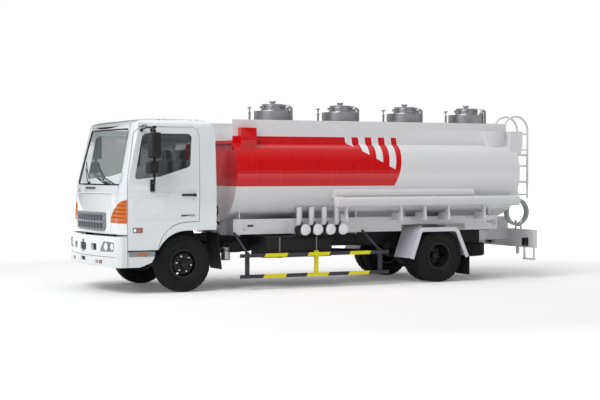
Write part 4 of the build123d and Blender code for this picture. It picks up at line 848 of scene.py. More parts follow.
# one tyre as a ring of sections; a section's point is across, radius, how far it wanders, cut by lugs
def tyreMesh(shapes, axleX, middleY, kind):
    def crown(across):
        return tyreLooks["crown"] - tyreLooks["drop"] * (across / tyreLooks["treadHalf"]) ** 2

    def flank(side):
        wall = [(side * across, radius, 0.0, False) for across, radius in tyreLooks["wall"]]
        return wall + [(side * across, crown(across), 0.0, cut) for across, cut in tyreLooks["shoulder"]]

    deep = tyreLooks["crown"] - tyreLooks["depth"]
    zig = tyreLooks["zig"][kind]
    grooves = tyreLooks["grooves"][kind]
    tread = []
    for across, half in sorted([(-across, half) for across, half in grooves] + grooves):
        tread += [(across - half, crown(across), zig, False), (across - half * 0.6, deep, zig, False),
                  (across + half * 0.6, deep, zig, False), (across + half, crown(across), zig, False)]
    section = flank(-1) + tread + flank(1)[::-1]
    rows = []
    for step in range(tyreLooks["steps"]):
        turn = 2 * math.pi * step / tyreLooks["steps"]
        wander = 1.0 if step % 4 >= 2 else -1.0
        lug = tyreLooks["lug"][kind] if step % tyreLooks["lugPitch"] < tyreLooks["lugSteps"] else 0.0
        row = []
        for across, radius, drift, cut in section:
            reach = radius - (lug if cut else 0.0)
            row.append((axleX + math.sin(turn) * reach, middleY + across + drift * wander,
                        wheelZ + math.cos(turn) * reach))
        rows.append(row)
    shapes.rows(rows, True)


rearMiddle = joints["roll_rear_left"]["pos_m"][1]
frontMiddle = joints["roll_front_left"]["pos_m"][1]
for word, side in sides.items():
    front = Shapes()
    tyreMesh(front, frontAxleX, side * frontMiddle, "front")
    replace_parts(front.make("tread_front_" + word, "tyre", "front_wheel_" + word, degrees=50),
                "front_tyre_" + word)
    rear = Shapes()
    for shift in (tyreLooks["twinShift"], -tyreLooks["twinShift"]):
        tyreMesh(rear, rearAxleX, side * (rearMiddle + shift), "rear")
    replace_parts(rear.make("tread_rear_" + word, "tyre", "rear_wheels_" + word, degrees=50),
                "rear_tyres_" + word)

wheelLooks = {
    "nutCircle": 0.118,
    "nuts": 6,
    "nutRadius": 0.0165,
    "boltPhase": 0.35,
    "hub": [(-0.030, 0.052), (-0.004, 0.050), (0.003, 0.044), (0.006, 0.030), (0.006, 0.010)],
}


def wheelNuts(word, axleX, rimNode, finish, reach):
    side = sides[word]
    face = (0, side, 0)
    radius = wheelLooks["nutRadius"]
    nuts = Shapes()
    washers = Shapes()

    def rim(x, z):
        return surface((rimNode,), (x, side * 1.4, z), (0, -side, 0))[0]

    for count in range(wheelLooks["nuts"]):
        turn = wheelLooks["boltPhase"] + 2 * math.pi * count / wheelLooks["nuts"]
        spot = rim(axleX + math.sin(turn) * wheelLooks["nutCircle"],
                   wheelZ + math.cos(turn) * wheelLooks["nutCircle"])
        nuts.turned(spot, face, [(-0.002, radius), (reach * 0.8, radius), (reach, radius * 0.72)], 6,
                    start=turn)
        nuts.turned(spot, face, [(reach * 0.9, 0.010), (reach * 1.35, 0.010), (reach * 1.4, 0.008)], 12)
        washers.turned(spot, face, [(-0.002, radius * 1.35), (0.003, radius * 1.3), (0.004, radius)], 20)
    nuts.make("nuts_" + rimNode, finish, rimNode, 0.0008)
    washers.make("washers_" + rimNode, "rimBlack", rimNode)
    hub = Shapes().turned((axleX, rim(axleX, wheelZ).y, wheelZ), face, wheelLooks["hub"], 32)
    hub.make("hub_cap_" + rimNode, "rimBlack", rimNode)


for word in sides:
    wheelNuts(word, frontAxleX, "front_wheel_" + word, "chrome", 0.026)
    wheelNuts(word, rearAxleX, "rear_wheels_" + word, "nutSteel", 0.030)
print("doors, mirrors and wheels detailed")

# the cab's front: roof lamps and plugs, step strips, rims, intake slot and grille frame
frontLooks = {
    "roofLamp": (0.675, 2.507),
    "lampRing": [(-0.02, 0.060), (0.008, 0.060), (0.012, 0.055)],
    "roofPlugs": [(0.395, 2.568), (0.288, 2.570), (-0.117, 2.576), (-0.221, 2.577)],
    "strip": (0.917, 0.509, 0.562, 0.632),              # front, back, foot, top
    "reflector": (0.800, 0.628, 0.572, 0.604),
    "slotHalf": 0.235,
    "slotHeight": 1.566,
    "slotWidth": 0.034,
    "slotBarHalf": 0.220,
    "slotBars": (1.558, 1.566, 1.574),
    "grilleFrame": (0.020, 0.010),                      # width, thickness
    "grilleBar": (0.034, 0.014),
}
for word, side in sides.items():
    x, z = frontLooks["roofLamp"]
    spot = onSide(fx(x), z, side)
    ring = Shapes().turned(spot, (0, side, 0.3), frontLooks["lampRing"], 32, (0.50, 1.05))
    ring.make("roof_lamp_frame_" + word, "grillePlastic", "cab")
    spot = spot + Vector((0, side * 0.010, 0.003))
    lens = Shapes().dome(spot, (0, side, 0.3), 0.050, 0.016, 28, (0.48, 1.05))
    lens.make("roof_lamp_" + word, "lampChrome", "cab")
    plugs = Shapes()
    for x, z in frontLooks["roofPlugs"]:
        spot, normal = surface(("cab_shell",), (fx(x), side * 1.0, 2.9), (0, 0, -1))
        plugs.dome(spot, normal, 0.011, 0.008, 14)
    plugs.make("roof_plugs_" + word, "blackPlastic", "cab")
    y = onSide(fx(0.7), 0.60, side, ("cab_steps", "front_bumper")).y
    front, back, low, high = frontLooks["strip"]
    Shapes().box((fx(back), y - side * 0.006, low), (fx(front), y + side * 0.006, high)).make(
        "step_strip_" + word, "stripGrey", "chassis", 0.003)
    front, back, low, high = frontLooks["reflector"]
    Shapes().box((fx(back), y, low), (fx(front), y + side * 0.012, high)).make(
        "step_reflector_" + word, "amber", "chassis", 0.003)

# thin rims round the headlamps
for word, side in sides.items():
    loop = [Vector((p.x, side * p.y, p.z)) for p in rimPath("headlamps", (1, 0.6, 0), 0.45) if p.y > 0]
    Shapes().band(loop, (0.85, side * 0.5, 0), 0.016, 0.004, True, 0.004).make(
        "headlamp_rim_" + word, "blackPlastic", "chassis")


# a spot on the front, seen from ahead
def onFront(y, z, nodeNames=("front_lid", "cab_shell", "front_bumper")):
    return surface(nodeNames, (fx(2.0), y, z), (-1, 0, 0))[0]


# evenly spread from one value to another
def spread(start, end, count):
    return [start + (end - start) * step / count for step in range(count + 1)]


half = frontLooks["slotHalf"]
slot = Shapes().band([onFront(y, frontLooks["slotHeight"]) for y in spread(-half, half, 12)], (1, 0, 0.15),
                     frontLooks["slotWidth"], 0.004)
slot.make("intake_slot", "blackPlastic", "cab")
half = frontLooks["slotBarHalf"]
bars = Shapes()
for z in frontLooks["slotBars"]:
    bars.pipe([onFront(y, z) + Vector((0.004, 0, 0)) for y in spread(-half, half, 10)], 0.0018, 8)
bars.make("intake_bars", "grillePlastic", "cab")

grilleLow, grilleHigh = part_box("grille")
width, thick = frontLooks["grilleFrame"]
Shapes().band(rimPath("grille", (1, 0, 0), 0.6), (1, 0, 0.05), width, thick, True, 0.004).make(
    "grille_frame", "frameGrey", "front_lid")
middle = (grilleLow[2] + grilleHigh[2]) / 2
half = (grilleHigh[1] - grilleLow[1]) / 2 - 0.02
width, thick = frontLooks["grilleBar"]
path = [onFront(y, middle, ("grille",)) for y in spread(-half, half, 14)]
Shapes().band(path, (1, 0, 0.05), width, thick).make("grille_bar", "frameGrey", "front_lid", 0.004)

# wipers: arms from their pivots and blades lying on the glass
wiperLooks = {
    "pivots": (0.56, -0.15),
    "pivotHeight": 1.640,
    "pivot": [(-0.01, 0.026), (0.020, 0.024), (0.028, 0.014)],
    "elbow": (0.10, 1.72),        # across from the pivot, height
    "hold": (0.28, 1.835),        # where the arm holds its blade
    "blade": (0.50, 0.26),        # how far the blade runs across and up
    "thick": 0.0075,
}
screen = ("cab_glass", "cab_shell")
arms = Shapes()
blades = Shapes()
for y in wiperLooks["pivots"]:
    foot = onFront(y, wiperLooks["pivotHeight"], ("cab_shell", "cab_glass", "front_lid"))
    arms.turned(foot, (1, 0, 0.2), wiperLooks["pivot"], 20)
    across, height = wiperLooks["elbow"]
    elbow = onFront(y - across, height, screen) + Vector((0.035, 0, 0.01))
    across, height = wiperLooks["hold"]
    hold = onFront(y - across, height, screen) + Vector((0.026, 0, 0.008))
    arms.pipe(rounded([foot + Vector((0.018, 0, 0.004)), elbow, hold], 0.06), wiperLooks["thick"], 10)
    wide, tall = wiperLooks["blade"]
    path = [onFront(y - across - t * wide, height + t * tall, screen) for t in spread(-0.5, 0.5, 8)]
    blades.pipe([spot + Vector((0.012, 0, 0.003)) for spot in path], wiperLooks["thick"], 8)
    arms.turned(hold, (0.2, -1, 0.5), [(-0.03, 0.008), (0.03, 0.008)], 10)
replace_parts(arms.make("wiper_arms", "blackPlastic", "cab"), "wipers")
blades.make("wiper_blades", "rubber", "cab")

# the bumper: dark cups behind its slots, a thin black line painted as the shade of the parting groove, and
# the lamp bowls
bumperLooks = {
    "nose": 1.250,
    "bow": 0.132,
    "half": 0.975,
    "slots": [      # middle, width, foot, top, finish
        (0.0, 0.290, 0.632, 0.742, "blackPlastic"),
        (0.0, 0.110, 0.600, 0.790, "blackPlastic"),
        (0.432, 0.190, 0.640, 0.742, "blackPlastic"),
        (0.0, 0.210, 0.470, 0.530, "blackPlastic"),
        (0.600, 0.220, 0.446, 0.500, "amber"),
    ],
    "inset": 0.022,
    "cupDepth": 0.030,
    "lap": 0.006,             # how far a cup reaches past its slot
    "line": 0.556,
    "lineHalf": 1.10,
    "lampDepth": 0.036,
    "lampTurn": 0.12,
    "bowls": [(0.790, 0.704, 0.058), (0.950, 0.708, 0.050)],      # across, height, radius
    "backs": [(0.660, 0.740), (0.742, 0.835), (0.837, 0.930), (0.932, 1.030)],
    "backSpan": (0.636, 0.770),
}


def bumperFace(y):
    return fx(bumperLooks["nose"]) - bumperLooks["bow"] * (y / bumperLooks["half"]) ** 2


lap = bumperLooks["lap"]
cups = {"blackPlastic": Shapes(), "amber": Shapes()}
for middle, width, low, high, finish in bumperLooks["slots"]:
    for side in ((1, -1) if middle else (1,)):
        inner, outer = side * middle - width / 2 - lap, side * middle + width / 2 + lap
        x = min(bumperFace(inner), bumperFace(outer)) - bumperLooks["inset"]
        cups[finish].box((x - bumperLooks["cupDepth"], inner, low - lap), (x, outer, high + lap))
cups["blackPlastic"].make("bumper_cups", "blackPlastic", "chassis", 0.003)
cups["amber"].make("bumper_markers", "amber", "chassis", 0.003)
# the parting groove is not cut: its shade is painted as a thin black pipe along the groove's line
half = bumperLooks["lineHalf"]
path = [onFront(y, bumperLooks["line"], ("front_bumper",)) for y in spread(-half, half, 40)]
Shapes().pipe(path, 0.0035, 8).make("bumper_parting", "blackPlastic", "chassis")
bowls = Shapes()
bulbs = Shapes()
backs = Shapes()
low, high = bumperLooks["backSpan"]
for y, z, radius in bumperLooks["bowls"]:
    dish = [(0.001, 0.012), (0.003, radius * 0.45), (0.010, radius * 0.75), (0.021, radius * 0.95),
            (0.026, radius)]
    for side in sides.values():
        spot = (bumperFace(y) - bumperLooks["lampDepth"], side * y, z)
        bowls.turned(spot, (1, side * bumperLooks["lampTurn"], 0), dish, 36)
        bulbs.dome(spot, (1, side * bumperLooks["lampTurn"], 0), 0.013, 0.022, 16)
for side in sides.values():
    for near, far in bumperLooks["backs"]:
        x = bumperFace(far) - bumperLooks["lampDepth"]
        backs.box((x - 0.004, side * near, low), (x, side * far, high))
backs.make("lamp_backs", "blackPlastic", "chassis")
bowls.make("lamp_bowls", "lampChrome", "chassis")
bulbs.make("lamp_bulbs", "whiteCap", "chassis")
print("front detailed")

# the seats: each solid blown up a little like foam under cloth
seatLooks = {
    "voxel": 0.014,
    "shrink": 0.010,
    "smoothing": 4,
    "pressure": 4.0,
    "frames": 20,
    "quality": 4,
    "most": 0.024,
}


def padSeats():
    source = nodes["seats"]
    obj = link(source.data.copy(), "seat_pads", "cloth", source["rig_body"])
    grid = obj.modifiers.new("grid", "REMESH")
    grid.mode = "VOXEL"
    grid.voxel_size = seatLooks["voxel"]
    slim = obj.modifiers.new("slim", "DISPLACE")
    slim.mid_level = 0.0
    slim.strength = -seatLooks["shrink"]
    soft = obj.modifiers.new("soft", "SMOOTH")
    soft.iterations = seatLooks["smoothing"]
    settle(obj)
    before = [vertex.co.copy() for vertex in obj.data.vertices]
    cloth = obj.modifiers.new("foam", "CLOTH")
    cloth.settings.use_pressure = True
    cloth.settings.uniform_pressure_force = seatLooks["pressure"]
    cloth.settings.effector_weights.gravity = 0.0
    cloth.settings.quality = seatLooks["quality"]
    for moment in range(1, seatLooks["frames"] + 1):
        scene.frame_set(moment)
    settle(obj)
    scene.frame_set(1)
    for vertex, was in zip(obj.data.vertices, before):
        move = vertex.co - was
        if move.length > seatLooks["most"]:
            vertex.co = was + move.normalized() * seatLooks["most"]
    obj.data.polygons.foreach_set("use_smooth", [True] * len(obj.data.polygons))
    obj.data.materials.clear()
    obj.data.materials.append(finishes["cloth"].material)
    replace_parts(obj, "seats")


padSeats()
print("seats padded")

# behind the cab: grab strip and curled lines
backLooks = {
    "strip": (1.541, 1.752),
    "stripAcross": 1.05,
    "lines": [      # across, and the bends: from the front axle, height
        (0.93, [(-0.470, 1.372), (-0.524, 1.366), (-0.572, 1.308), (-0.601, 1.237), (-0.585, 1.160),
                (-0.545, 1.100)]),
        (0.88, [(-0.470, 1.300), (-0.534, 1.291), (-0.548, 1.202), (-0.575, 1.148), (-0.560, 1.095),
                (-0.601, 1.050), (-0.640, 1.000)]),
    ],
    "lineRadius": 0.011,
}
low, high = backLooks["strip"]
back = surface(("cab_shell",), (fx(-1.2), backLooks["stripAcross"], (low + high) / 2), (1, 0, 0))[0].x
Shapes().box((back - 0.016, 1.035, low), (back + 0.004, 1.068, high)).make(
    "back_strip", "blackPlastic", "cab", 0.004)
lines = Shapes()
for y, path in backLooks["lines"]:
    lines.pipe(rounded([(fx(x), y, z) for x, z in path], 0.05), backLooks["lineRadius"], 10)
lines.make("back_lines", "rubber", "chassis")

# tank fittings: necks with lugs, bent vents, T handles
tankLooks = {
    "first": -1.960,
    "spacing": 1.245,
    "count": 4,
    "top": 2.440,             # of the tank's shell
    "neck": 0.184,
    "neckTop": 2.880,
    "neckRings": ((2.876, 0.006), (2.806, 0.008)),      # height, how far out
    "collarTop": 2.798,
    "collarRing": 0.303,
    "collarBolts": 6,
    "boltCircle": 0.245,
    "ring": 0.006,
    "lugs": 8,
    "vent": 0.342,            # behind its neck; the last one also stands aside
    "lastAside": 0.238,
    "ventHeight": 2.866,
    "ventReach": 0.075,
    "ventPipe": 0.022,
    "ventCap": [(-0.012, 0.026), (0.0, 0.034), (0.030, 0.034), (0.038, 0.024)],
    "dip": 0.412,             # ahead of its neck
    "dipHeight": 2.780,
    "dipPipe": 0.017,
    "handleHalf": 0.052,
}
lugs = Shapes()
rings = Shapes()
pipes = Shapes()
knobs = Shapes()
handles = Shapes()
upwards = (0, 0, 1)
for count in range(tankLooks["count"]):
    x = fx(tankLooks["first"] - count * tankLooks["spacing"])
    for lug in range(tankLooks["lugs"]):
        turn = 2 * math.pi * (lug + 0.5) / tankLooks["lugs"]
        spoke = Vector((math.cos(turn), math.sin(turn), 0))
        centre = Vector((x, 0, tankLooks["neckTop"] - 0.022)) + spoke * (tankLooks["neck"] + 0.014)
        lugs.turned(centre, upwards, [(-0.010, 0.012), (0.010, 0.012)], 6, start=turn)
        lugs.turned(centre, upwards, [(-0.020, 0.004), (0.026, 0.004), (0.028, 0.003)], 10)
        centre.z += 0.018
        lugs.turned(centre, upwards, [(-0.004, 0.009), (0.004, 0.009), (0.006, 0.005)], 6)
    for z, out in tankLooks["neckRings"]:
        reach = tankLooks["neck"] + out
        rings.pipe(circle((x, 0, z), (reach, 0, 0), (0, reach, 0), 48), tankLooks["ring"], 8, True)
    reach = tankLooks["collarRing"]
    rings.pipe(circle((x, 0, tankLooks["collarTop"] - 0.004), (reach, 0, 0), (0, reach, 0), 64),
               tankLooks["ring"], 8, True)
    for bolt in range(tankLooks["collarBolts"]):
        turn = 2 * math.pi * bolt / tankLooks["collarBolts"] + 0.3
        spot = (x + math.cos(turn) * tankLooks["boltCircle"], math.sin(turn) * tankLooks["boltCircle"],
                tankLooks["collarTop"])
        rings.turned(spot, upwards, [(-0.002, 0.014), (0.010, 0.014), (0.012, 0.010)], 6)
    foot = tankLooks["top"] - 0.05
    aside = tankLooks["lastAside"] if count == tankLooks["count"] - 1 else 0.0
    ventX = x - (aside or tankLooks["vent"])
    capX, bend = ventX + tankLooks["ventReach"], tankLooks["ventHeight"]
    vent = [(ventX, aside, foot), (ventX, aside, bend), (capX, aside, bend), (capX, aside, 2.800)]
    pipes.pipe(rounded(vent, 0.05, 7), tankLooks["ventPipe"], 18)
    knobs.turned((capX, aside, 2.822), (0, 0, -1), tankLooks["ventCap"], 24)
    bleed = [(ventX + 0.010, aside, 2.884), (ventX + 0.060, aside * 0.9, 2.900),
             (x - 0.190, aside * 0.6, 2.893)]
    pipes.pipe(rounded(bleed, 0.03), 0.0055, 8)
    dipX, height = x + tankLooks["dip"], tankLooks["dipHeight"]
    pipes.pipe([(dipX, 0, foot), (dipX, 0, height)], tankLooks["dipPipe"], 18)
    pipes.turned((dipX, 0, height), upwards, [(-0.03, 0.021), (0.0, 0.021), (0.006, 0.016)], 20)
    handles.pipe([(dipX, 0, 2.775), (dipX, 0, 2.846)], 0.010, 12)
    half = tankLooks["handleHalf"]
    handles.pipe([(dipX, -half, 2.850), (dipX, half, 2.850)], 0.012, 12)
    handles.turned((dipX, 0, 2.828), upwards, [(-0.010, 0.016), (0.010, 0.016)], 6)
lugs.make("neck_lugs", "darkSteel", "chassis", 0.0015)
rings.make("neck_rings", "stainless", "chassis")
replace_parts(pipes.make("vent_pipes_skin", "stainless", "chassis"), "vent_pipes")
handles.make("dip_handles", "stainless", "chassis")
knobs.make("vent_caps", "darkSteel", "chassis")

# outlets: domed caps and black levers
outletLooks = {
    "places": [-1.965, -2.183, -2.408, -2.634],
    "height": 0.912,
    "face": 1.205,
    "cap": [(0.0, 0.085), (0.020, 0.0855), (0.029, 0.082), (0.034, 0.074), (0.036, 0.040), (0.0365, 0.004)],
    "capRing": (0.079, 0.009),
    "cam": [(-0.05, 0.066), (-0.02, 0.072), (0.026, 0.072), (0.034, 0.060)],
    "camAside": 0.078,
    "pivot": [(-0.01, 0.022), (0.012, 0.022), (0.016, 0.014)],
    "lever": [(0.020, -0.020, -0.050), (0.026, -0.012, 0.0), (0.010, -0.012, 0.066), (-0.030, -0.012, 0.124)],
}
caps = Shapes()
levers = Shapes()
z, y = outletLooks["height"], outletLooks["face"]
for place in outletLooks["places"]:
    x = fx(place)
    caps.turned((x, y - 0.030, z), (0, 1, 0), outletLooks["cap"], 48)
    reach, thick = outletLooks["capRing"]
    caps.pipe(circle((x, y - 0.034, z), (reach, 0, 0), (0, 0, reach), 40), thick, 8, True)
    x += outletLooks["camAside"]
    levers.turned((x, y - 0.070, z), (0, 1, 0), outletLooks["cam"], 24)
    path = [(x + ahead, y + out, z + up) for ahead, out, up in outletLooks["lever"]]
    levers.pipe(rounded(path, 0.03), 0.0135, 10)
    levers.turned((x, y - 0.058, z), (0, 1, 0), outletLooks["pivot"], 16)
caps.make("outlet_caps", "whiteCap", "chassis")
levers.make("outlet_levers", "blackPlastic", "chassis")

# lifting eyes along the skirts
eyeLooks = {"places": (-1.050, -5.680), "across": 0.904, "height": 0.955, "wide": 0.030, "tall": 0.040,
            "thick": 0.009}
eyes = Shapes()
for side in sides.values():
    for place in eyeLooks["places"]:
        centre = (fx(place), side * eyeLooks["across"], eyeLooks["height"])
        eyes.pipe(circle(centre, (eyeLooks["wide"], 0, 0), (0, 0, eyeLooks["tall"]), 28),
                  eyeLooks["thick"], 8, True)
eyes.make("skirt_eyes", "lightGrey", "chassis")


# a row of round bolt heads between two points, as one mesh
def boltRow(name, start, end, face, finish, body, radius, spacing):
    tree = bpy.data.node_groups.new(name, "GeometryNodeTree")
    sizes = {}
    for label, value in (("Spacing", spacing), ("Head Radius", radius)):
        socket = tree.interface.new_socket(label, in_out="INPUT", socket_type="NodeSocketFloat")
        socket.default_value = value
        sizes[socket.identifier] = value
    tree.interface.new_socket("Mesh", in_out="OUTPUT", socket_type="NodeSocketGeometry")
    entry = tree.nodes.new("NodeGroupInput")
    line = tree.nodes.new("GeometryNodeCurvePrimitiveLine")
    line.inputs["Start"].default_value = start
    line.inputs["End"].default_value = end
    marks = tree.nodes.new("GeometryNodeResampleCurve")
    if "Mode" in marks.inputs:
        marks.inputs["Mode"].default_value = "Length"
    else:
        marks.mode = "LENGTH"
    head = tree.nodes.new("GeometryNodeMeshUVSphere")
    head.inputs["Segments"].default_value = 14
    head.inputs["Rings"].default_value = 8
    place = tree.nodes.new("GeometryNodeInstanceOnPoints")
    place.inputs["Rotation"].default_value = Vector(face).to_track_quat("Z", "Y").to_euler()
    place.inputs["Scale"].default_value = (1.0, 1.0, 0.6)
    real = tree.nodes.new("GeometryNodeRealizeInstances")
    tone = tree.nodes.new("GeometryNodeSetMaterial")
    tone.inputs["Material"].default_value = finishes[finish].material
    leave = tree.nodes.new("NodeGroupOutput")
    for source, socket in (
        (line.outputs[0], marks.inputs["Curve"]),
        (entry.outputs["Spacing"], marks.inputs["Length"]),
        (entry.outputs["Head Radius"], head.inputs["Radius"]),
        (marks.outputs[0], place.inputs["Points"]),
        (head.outputs["Mesh"], place.inputs["Instance"]),
        (place.outputs[0], real.inputs[0]),
        (real.outputs[0], tone.inputs["Geometry"]),
        (tone.outputs[0], leave.inputs[0]),
    ):
        tree.links.new(source, socket)
    holder = bpy.data.objects.new(name + "_row", bpy.data.meshes.new(name + "_row"))
    scene.collection.objects.link(holder)
    rows = holder.modifiers.new("row", "NODES")
    rows.node_group = tree
    for identifier, value in sizes.items():
        rows[identifier] = value
    settle(holder)
    mesh = holder.data
    bpy.data.objects.remove(holder)
    mesh.polygons.foreach_set("use_smooth", [True] * len(mesh.polygons))
    return link(mesh, name, finish, body)


rowLooks = {
    # front, back, across, height, head radius, spacing
    "skirt_bolts_": (-1.20, -5.50, 0.898, 1.050, 0.011, 0.345),
    "board_bolts_": (-1.35, -5.25, 0.955, 2.585, 0.008, 0.26),
}
for word, side in sides.items():
    for name, (front, back, y, z, radius, spacing) in rowLooks.items():
        start, end = (fx(front), side * y, z), (fx(back), side * y, z)
        boltRow(name + word, start, end, (0, side, 0), "lightGrey", "chassis", radius, spacing)

# along the frame: straps round the fuel tank's outer side in a lighter steel finish that paints their
# highlights, the silver canister and its lines
frameLooks = {
    "straps": (-1.585, -2.230),
    "strap": (0.012, 0.004, 0.500, 0.800),              # half width, half thickness, foot, top
    "canister": (-0.800, 0.750, 0.446),
    "profile": [(0.0, 0.050), (0.006, 0.066), (0.012, 0.0715), (0.120, 0.0715), (0.126, 0.074),
                (0.140, 0.074), (0.146, 0.0715), (0.195, 0.0705), (0.203, 0.060)],
    "lines": (-0.755, -0.845),
}
# the straps get a lighter steel finish than the black tank: partly their own metal, partly a painted
# highlight for the light they catch
straps = Shapes()
wide, thick, low, high = frameLooks["strap"]
for x in frameLooks["straps"]:
    y = surface(("fuel_tank", "battery_box", "air_tanks"), (fx(x), 2.0, 0.640), (0, -1, 0))[0].y
    straps.box((fx(x) - wide, y - thick, low), (fx(x) + wide, y + thick, high))
straps.make("tank_straps", "nutSteel", "chassis", 0.001)
x, y, z = frameLooks["canister"]
canister = Shapes().turned((fx(x), y, z), (0, 0, 1), frameLooks["profile"], 40)
canister.make("air_dryer", "dullSilver", "chassis")
tubes = Shapes()
for x in frameLooks["lines"]:
    tubes.pipe(rounded([(fx(x), 0.730, 0.640), (fx(x), 0.700, 0.700), (fx(x - 0.20), 0.560, 0.730)], 0.04),
               0.009, 8)
tubes.make("dryer_lines", "rubber", "chassis")

# hose tube collars and domed end caps
tubeLooks = {
    "across": 1.196,
    "height": 1.338,
    "reach": 0.084,
    "rings": [(-2.512, 0.009), (-2.600, 0.009), (-3.40, 0.006), (-4.30, 0.006), (-5.10, 0.006),
              (-5.845, 0.009), (-5.945, 0.009)],
    "ends": [(-2.500, 1), (-5.953, -1)],
}
collars = Shapes()
y, z, reach = tubeLooks["across"], tubeLooks["height"], tubeLooks["reach"]
for place, thick in tubeLooks["rings"]:
    collars.pipe(circle((fx(place), y, z), (0, reach, 0), (0, 0, reach), 40), thick, 8, True)
for place, way in tubeLooks["ends"]:
    collars.dome((fx(place), y, z), (way, 0, 0), 0.082, 0.010, 40)
collars.make("tube_collars", "lightGrey", "chassis")
print("tank fittings made")

# rear end: sockets and covers, lenses, bolts, valve lever
rearLooks = {
    "beam": -6.300,
    "sockets": [(0.975, 0.620), (-0.130, 0.690)],
    "socket": (0.052, 0.070),                           # half width, half height
    "cover": (0.034, 0.048),
    "lenses": [("stop", "redLens", 0.782, 0.880), ("turn", "amber", 0.888, 0.986),
               ("reverse", "lampChrome", 0.994, 1.098)],
    "lensSpan": (0.584, 0.686),
    "boltsAcross": (-1.08, -0.80, -0.52, -0.30, 0.30, 0.52, 0.80, 1.08),
    "boltHeights": (0.600, 0.750),
    "valve": (-6.100, 0.580),
}
beamRear = fx(rearLooks["beam"])
for name, finish, size, near, far, edge, segments in (
    ("lamp_sockets", "blackPlastic", rearLooks["socket"], 0.002, 0.074, 0.014, 4),
    ("socket_covers", "rubber", rearLooks["cover"], 0.070, 0.078, 0.004, 2),
):
    boxes = Shapes()
    for y, z in rearLooks["sockets"]:
        boxes.box((beamRear + near, y - size[0], z - size[1]), (beamRear + far, y + size[0], z + size[1]))
    boxes.make(name, finish, "chassis", edge, segments=segments)
low, high = rearLooks["lensSpan"]
for word, side in sides.items():
    for name, finish, near, far in rearLooks["lenses"]:
        Shapes().box((beamRear - 0.134, side * near, low), (beamRear - 0.116, side * far, high)).make(
            name + "_lamp_" + word, finish, "chassis", 0.006, segments=3)
bolts = Shapes()
for y in rearLooks["boltsAcross"]:
    for z in rearLooks["boltHeights"]:
        bolts.turned((beamRear - 0.0125, y, z), (-1, 0, 0), [(-0.002, 0.011), (0.008, 0.011)], 6)
bolts.make("beam_bolts", "nutSteel", "chassis")
x, y = fx(rearLooks["valve"][0]), rearLooks["valve"][1]
lever = Shapes().box((x - 0.018, y - 0.014, 1.414), (x + 0.100, y + 0.014, 1.430))
lever.turned((x, y, 1.404), (0, 0, 1), [(-0.01, 0.018), (0.030, 0.018), (0.034, 0.012)], 16)
lever.make("rear_valve_lever", "blackPlastic", "chassis", 0.005, segments=3)

# the hose: three turns from the rear valve, hung over the beam's fork
hoseLooks = {
    "valve": (-6.200, 0.580, 1.360),
    "middle": (-6.272, 1.125),
    "firstY": 0.6445,
    "radius": 0.215,
    "turns": 3,
    "stepsPerTurn": 40,
    "cutShort": 6,            # steps left off the last turn
    "firstTurn": math.pi / 2 + 0.30,
    "pitch": 0.04455,         # from one turn to the next
    "thick": 0.045,
    "fitting": [(0.0, 0.026), (0.055, 0.026), (0.060, 0.030), (0.085, 0.030)],
    "clamp": [(-0.03, 0.0265), (0.02, 0.0265)],
}


def hosePath():
    x, y, z = hoseLooks["valve"]
    start = Vector((fx(x), y, z))
    x, z = hoseLooks["middle"]
    reach = hoseLooks["radius"]
    coil = []
    for step in range(hoseLooks["turns"] * hoseLooks["stepsPerTurn"] - hoseLooks["cutShort"]):
        part = step / hoseLooks["stepsPerTurn"]
        turn = hoseLooks["firstTurn"] + 2 * math.pi * part
        coil.append(Vector((fx(x) + math.cos(turn) * reach, hoseLooks["firstY"] + hoseLooks["pitch"] * part,
                            z + math.sin(turn) * reach)))
    lead = [start, start + Vector((-0.020, 0.006, 0.0)),
            start * 0.45 + coil[0] * 0.55 + Vector((0.004, -0.004, 0.004))]
    path = []
    for before, after in zip(lead + coil, lead[1:] + coil):
        path.append(before)
        if len(path) < 6:         # closer points where it leaves the valve
            path.append((before + after) / 2)
    return path + coil[-1:]


hosePoints = hosePath()
hoseLength = sum((after - before).length for before, after in zip(hosePoints, hosePoints[1:]))
hose = Shapes().pipe(hosePoints, hoseLooks["thick"] / 2 - 0.0005, 20).make(
    "hose_coil_skin", "hose", "chassis")
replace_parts(hose, "hose_coil")
way = (hosePoints[-1] - hosePoints[-2]).normalized()
fitting = Shapes().turned(hosePoints[-1] - way * 0.03, way, hoseLooks["fitting"], 24).make(
    "hose_end_fitting", "dullSilver", "chassis")
Shapes().turned(hosePoints[0] + Vector((0.010, 0, 0)), (1, 0, 0), hoseLooks["clamp"], 24).make(
    "hose_clamp", "dullSilver", "chassis")
print("rear made, hose", round(hoseLength, 3))

# the floor, the lights and the camera; the lamp called cabin lights the inside of the cab
stageLooks = {
    "floorSize": 240.0,
    "fade": (7.0, 16.0),      # from here outwards the floor turns into the backdrop
    "floorTone": (0.92, 0.92, 0.92),
    "floorGlow": 0.10,
    "fadeGlow": 0.9,
    "worldFill": 0.36,
    "glossLow": 0.14,         # what shiny paint sees near the horizon
    "glossHigh": 0.85,        # and overhead
    "glossRise": (0.50, 0.80),
    "glossStrip": (0.035, 0.085, 0.55),
    "sunStrength": 1.4,
    "sunAngle": 34.0,
    "sunFrom": (6.5, 3.5, 8.0),
    "lamps": [                # name, place, target, size, power
        ("key", (11.0, 5.0, 8.0), (1.0, 0.0, 1.0), (9.0, 5.0), 350.0),
        ("cabin", (fx(0.35), 0.0, 2.28), (fx(0.35), 0.0, 0.0), (1.1, 1.6), 22.0),
        ("top", (0.0, 0.0, 11.0), (0.0, 0.0, 0.0), (11.0, 6.0), 200.0),
        ("far", (-6.0, -9.0, 8.0), (0.0, 0.0, 1.0), (8.0, 5.0), 200.0),
    ],
}
cameraLooks = {
    "ahead": 7.823,           # of the front axle
    "beside": 20.734,
    "height": 1.836,
    "aim": (-0.4443, -0.8959, 0.0),
    "pitch": 1.207,
    "lens": 84.27,
    "sensor": 36.0,
}


